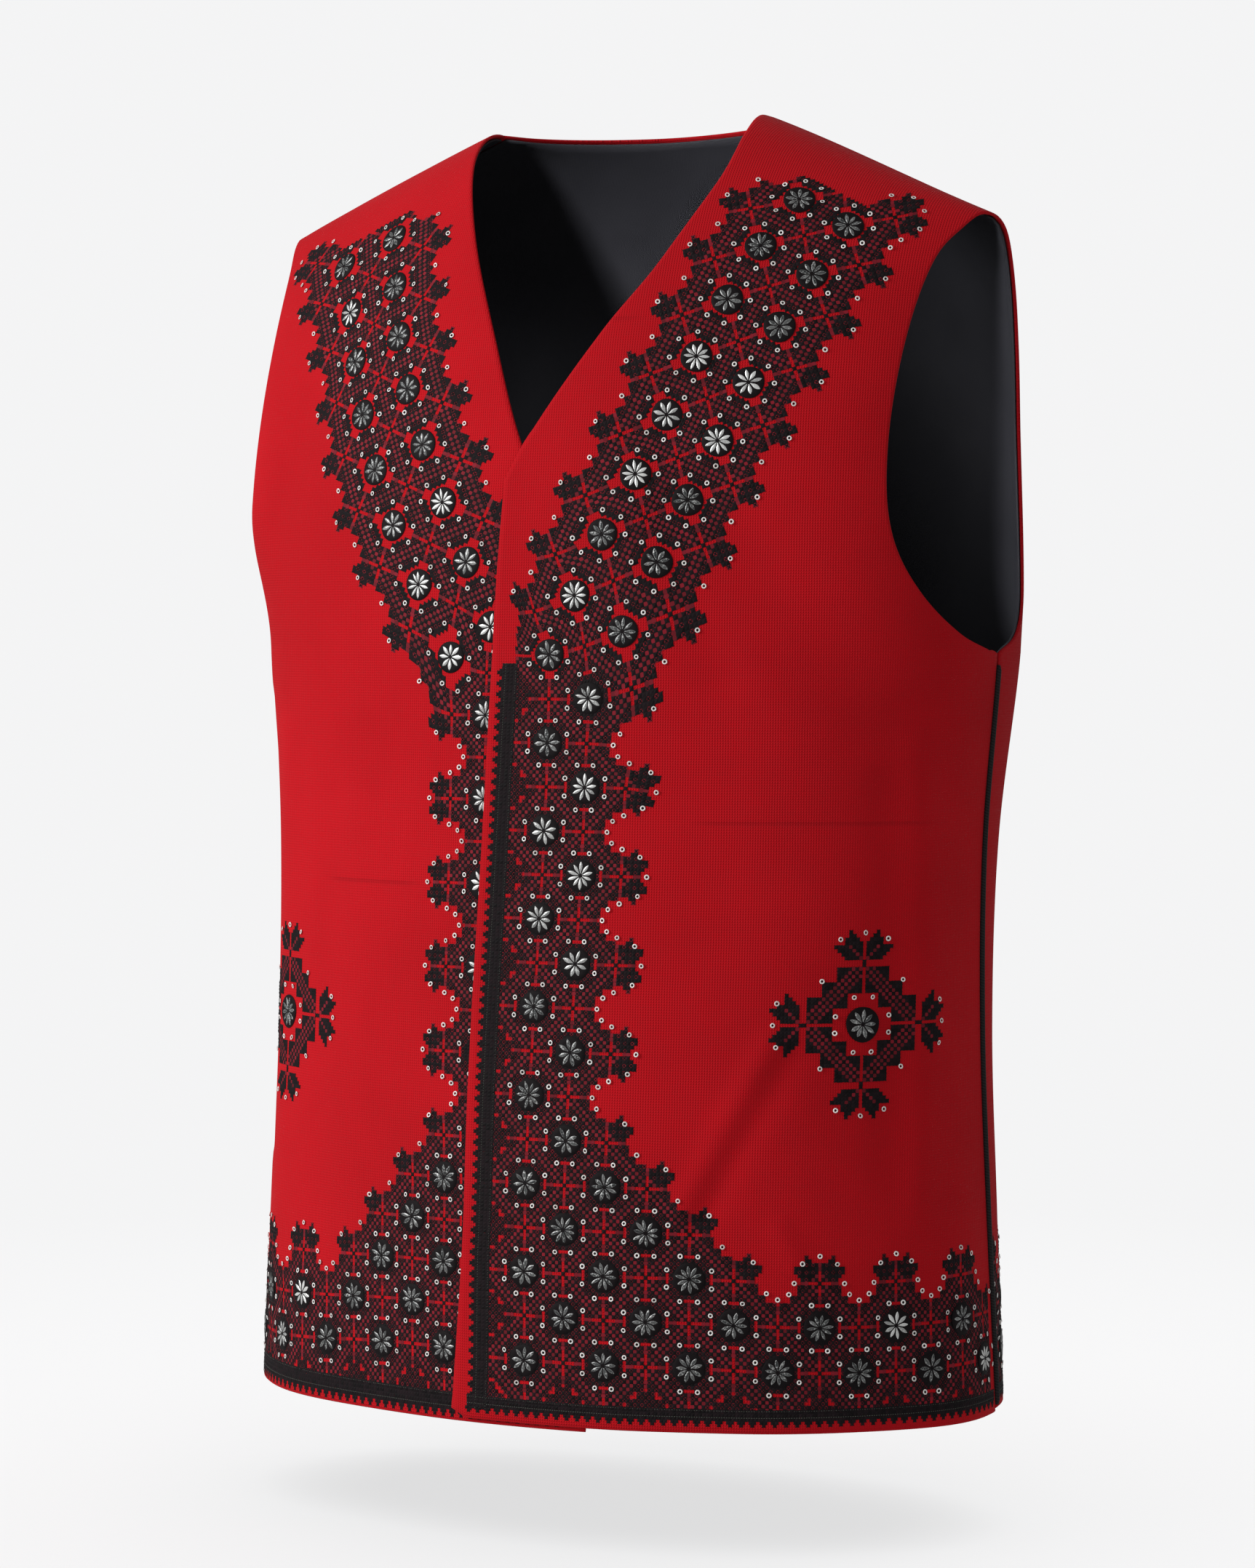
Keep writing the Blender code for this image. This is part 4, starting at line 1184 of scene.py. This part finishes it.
for key, chart in charts.items():
    panel, place, rosettes = panels[key], chart["place"], chart["rosettes"]
    cx, cy = gridCells(*chart["size"])
    near = np.zeros(cx.shape, bool)
    for i, j in rosettes:
        near |= np.maximum(np.abs(cx - repeat * i), np.abs(cy - repeat * j)) < 2 * repeat + 2
    cx, cy = cx[near], cy[near]
    stitch, sequins = workChart(rosettes, cx, cy, chart["closedLeft"])
    cx, cy, stitch = pick((cx, cy, stitch), stitch > 0)
    angle, level = place(cx, cy)
    high = level * form["underarm"]
    ok = insidePanel(key, angle, level) & (high > chart["inner"]) & bandEnd(key, cx, cy)
    if key == "leftFront":                            # the front edge's border starts here
        away = lookUp(roundTable, tableAngle, angle, level) - borderWay(high)
        ok &= (away > besideBorder["room"]) | (cy > besideBorder["topRow"])
    cx, cy, stitch = pick((cx, cy, stitch), ok)
    cover = np.where(stitch == 1, stitchLooks["gappy"], stitchLooks["tight"])
    cover = cover + random.normal(0, 0.02, len(cover))
    spots = frames(panel, place, cx.astype(float), cy.astype(float))
    black = stitch != 4
    parts = [crossStitches(pick(spots, black), cover[black])]
    # plum squares under the gappy black stitches and on their own: painted shade of the red cloth between
    # stitches
    under = [underShadeSquares(pick(spots, np.isin(stitch, (1, 4))))]
    middles = np.array(rosettes, float).T * repeat
    shown = insidePanel(key, *place(*middles))
    shine = np.array([chart["shine"].get(node, rosetteLooks["dull"]) for node in rosettes])
    rosetteSpots = [(pick(frames(panel, place, *middles, 0.00010), shown), shine[shown], 1.0)]
    ringX, ringY = sequins.T
    shown = insidePanel(key, *place(ringX, ringY)) & bandEnd(key, ringX, ringY - 1)
    if key == "leftFront":
        low, top = besideBorder["ringRows"]
        shown &= (ringX > besideBorder["ringColumn"]) | (ringY > top) | (ringY < low)
    ringSpots = [pick(frames(panel, place, ringX, ringY), shown)]
    if chart["cross"]:
        stitches, plumShadeSquares, rings, middle = crossMotif(panel, *chart["cross"])
        parts.append(stitches)
        under.append(plumShadeSquares)
        ringSpots.append(rings)
        rosetteSpots.append((middle, crossLooks["shine"], crossLooks["scale"]))
    run, discs, petals = [], [], []
    for border in bordersOf(key):
        stitches, dots = borderStitches(panel, *border)
        parts += stitches
        run += dots
    for spots in rosetteSpots:
        grounds, silver = rosetteParts(*spots)
        discs += grounds
        petals += silver
    sewn = {"CrossStitch": (parts, floss, ["tint"], False), "PlumGroundShade": (under, plum, ["tint"], False),
            "RosetteGround": (discs, floss, ["tint"], True), "Petals": (petals, foil, ["shine", "edge"], True),
            "Sequins": ([sequinRings(s) for s in ringSpots], pearl, ["tint"], True),
            "SequinKnots": ([bumps(s, *knotSize) for s in ringSpots], floss, ["tint"], True),
            "RunningStitch": (run, running, ["tint"], False)}
    for name, (pieces, finish, marks, smooth) in sewn.items():
        points, faces, values = join(pieces)
        values = values.reshape(len(points), -1).T
        piece = makeMesh(key + name, points, faces, finish, marks=dict(zip(marks, values)), smooth=smooth)
    print(key, "embroidery made:", len(cx), "cells,", len(discs), "rosettes,", sum(shown), "rings")

# floor, background, lights, camera
studio = {"floor": -0.703, "size": 12.0, "shown": 0.22, "around": 0.29, "backdrop": (0.905, 0.905, 0.91, 1),
          "pale": (0.86, 0.86, 0.865, 1), "paler": (0.90, 0.90, 0.905, 1)}
net = Net("studioFloor")
place = net.place()
flat = net.cut(place)
away = (flat.of("X") * flat.of("X") + flat.of("Y") * flat.of("Y")).maths("SQRT")
net.set(colour=net.mix(net.noise(place, 2.0, 2.0), studio["pale"], studio["paler"]), roughness=0.9,
        specular=0.1, alpha=net.span(away, 0.45, 1.15, studio["shown"], 0.0))
mesh = bpy.data.meshes.new("studioFloor")
mesh.from_pydata([(x * studio["size"], y * studio["size"], studio["floor"])
                  for x, y in ((-1, -1), (1, -1), (1, 1), (-1, 1))], [], [(0, 1, 2, 3)])
mesh.materials.append(net.material)
floor = bpy.data.objects.new("studioFloor", mesh)
bpy.context.scene.collection.objects.link(floor)

# the camera sees a pale background, and the vest gets weaker light from all round
world = bpy.data.worlds.new("studio")
bpy.context.scene.world = world
world.use_nodes = True
nodes, links = world.node_tree.nodes, world.node_tree.links
light, seen = nodes["Background"], nodes.new("ShaderNodeBackground")
for node, colour, strength in ((light, (1, 1, 1, 1), studio["around"]), (seen, studio["backdrop"], 1.0)):
    node.inputs["Color"].default_value = colour
    node.inputs["Strength"].default_value = strength
path, blend = nodes.new("ShaderNodeLightPath"), nodes.new("ShaderNodeMixShader")
for start, end in ((path.outputs["Is Camera Ray"], blend.inputs["Fac"]),
                   (light.outputs["Background"], blend.inputs[1]),
                   (seen.outputs["Background"], blend.inputs[2]),
                   (blend.outputs["Shader"], nodes["World Output"].inputs["Surface"])):
    links.new(start, end)


def litGroup(name, pieces):
    # a collection of the pieces that a lamp lights
    group = bpy.data.collections.new(name)
    for piece in pieces:
        group.objects.link(piece)
    return group


def makeLamp(name, kind, place, aim, power, group, settings):
    # a lamp at place, turned to aim
    data = bpy.data.lights.new(name, kind)
    data.energy = power
    for key, value in settings.items():
        setattr(data, key, value)
    lamp = bpy.data.objects.new(name, data)
    bpy.context.scene.collection.objects.link(lamp)
    x, y, z = np.array(aim) - np.array(place)
    lamp.location = place
    lamp.rotation_euler = (np.arctan2(np.hypot(x, y), -z), 0, np.arctan2(y, x) - pi / 2)
    lamp.light_linking.receiver_collection = group


# the floor takes its light from above alone, so the vest's shadow lies under it, and a narrow
# beam reaches the lining at the back of the neck
vest = [piece for piece in bpy.context.scene.objects if piece.type == "MESH" and piece is not floor]
onVest = litGroup("litBySides", vest)
notBackLining = litGroup("litByFill", [piece for piece in vest if piece.name != "backLining"])
onFloor, inNeck = litGroup("litFromAbove", [floor]), litGroup("litInNeck", [bpy.data.objects["backLining"]])
makeLamp("keyLight", "AREA", (-2.1, -2.3, 0.9), (0.0, 0.0, -0.32), 85.0, onVest, {"size": 1.6})
makeLamp("fillLight", "AREA", (1.9, -2.2, 0.6), (0.0, 0.0, -0.3), 5.0, notBackLining, {"size": 2.0})
makeLamp("backLight", "AREA", (-1.2, 2.6, 1.4), (0.0, 0.0, -0.2), 9.0, onVest, {"size": 1.8})
makeLamp("floorLight", "AREA", (-0.16, 0.31, 1.3), (-0.16, 0.311, 0.0), 98.0, onFloor, {"size": 4.2})
makeLamp("neckLight", "SPOT", (0.1, -1.8, 0.3), (0.02, 0.12, -0.045), 2600.0, inNeck,
         {"spot_size": radians(9.0), "spot_blend": 1.0, "shadow_soft_size": 0.35})

view = {"away": 2.3218, "turn": radians(26.9), "height": -0.2395, "down": radians(2.333), "focal": 6218 / 1725}
camera = bpy.data.objects.new("camera", bpy.data.cameras.new("camera"))
bpy.context.scene.collection.objects.link(camera)
camera.location = (view["away"] * sin(view["turn"]), -view["away"] * cos(view["turn"]), view["height"])
camera.rotation_euler = (pi / 2 - view["down"], 0, view["turn"])
camera.data.sensor_fit, camera.data.sensor_width = "HORIZONTAL", 36.0
camera.data.lens = 36.0 * view["focal"]
camera.data.clip_end = 60.0
bpy.context.scene.camera = camera
bpy.context.scene.view_settings.view_transform = "Standard"

print("stage and camera made")
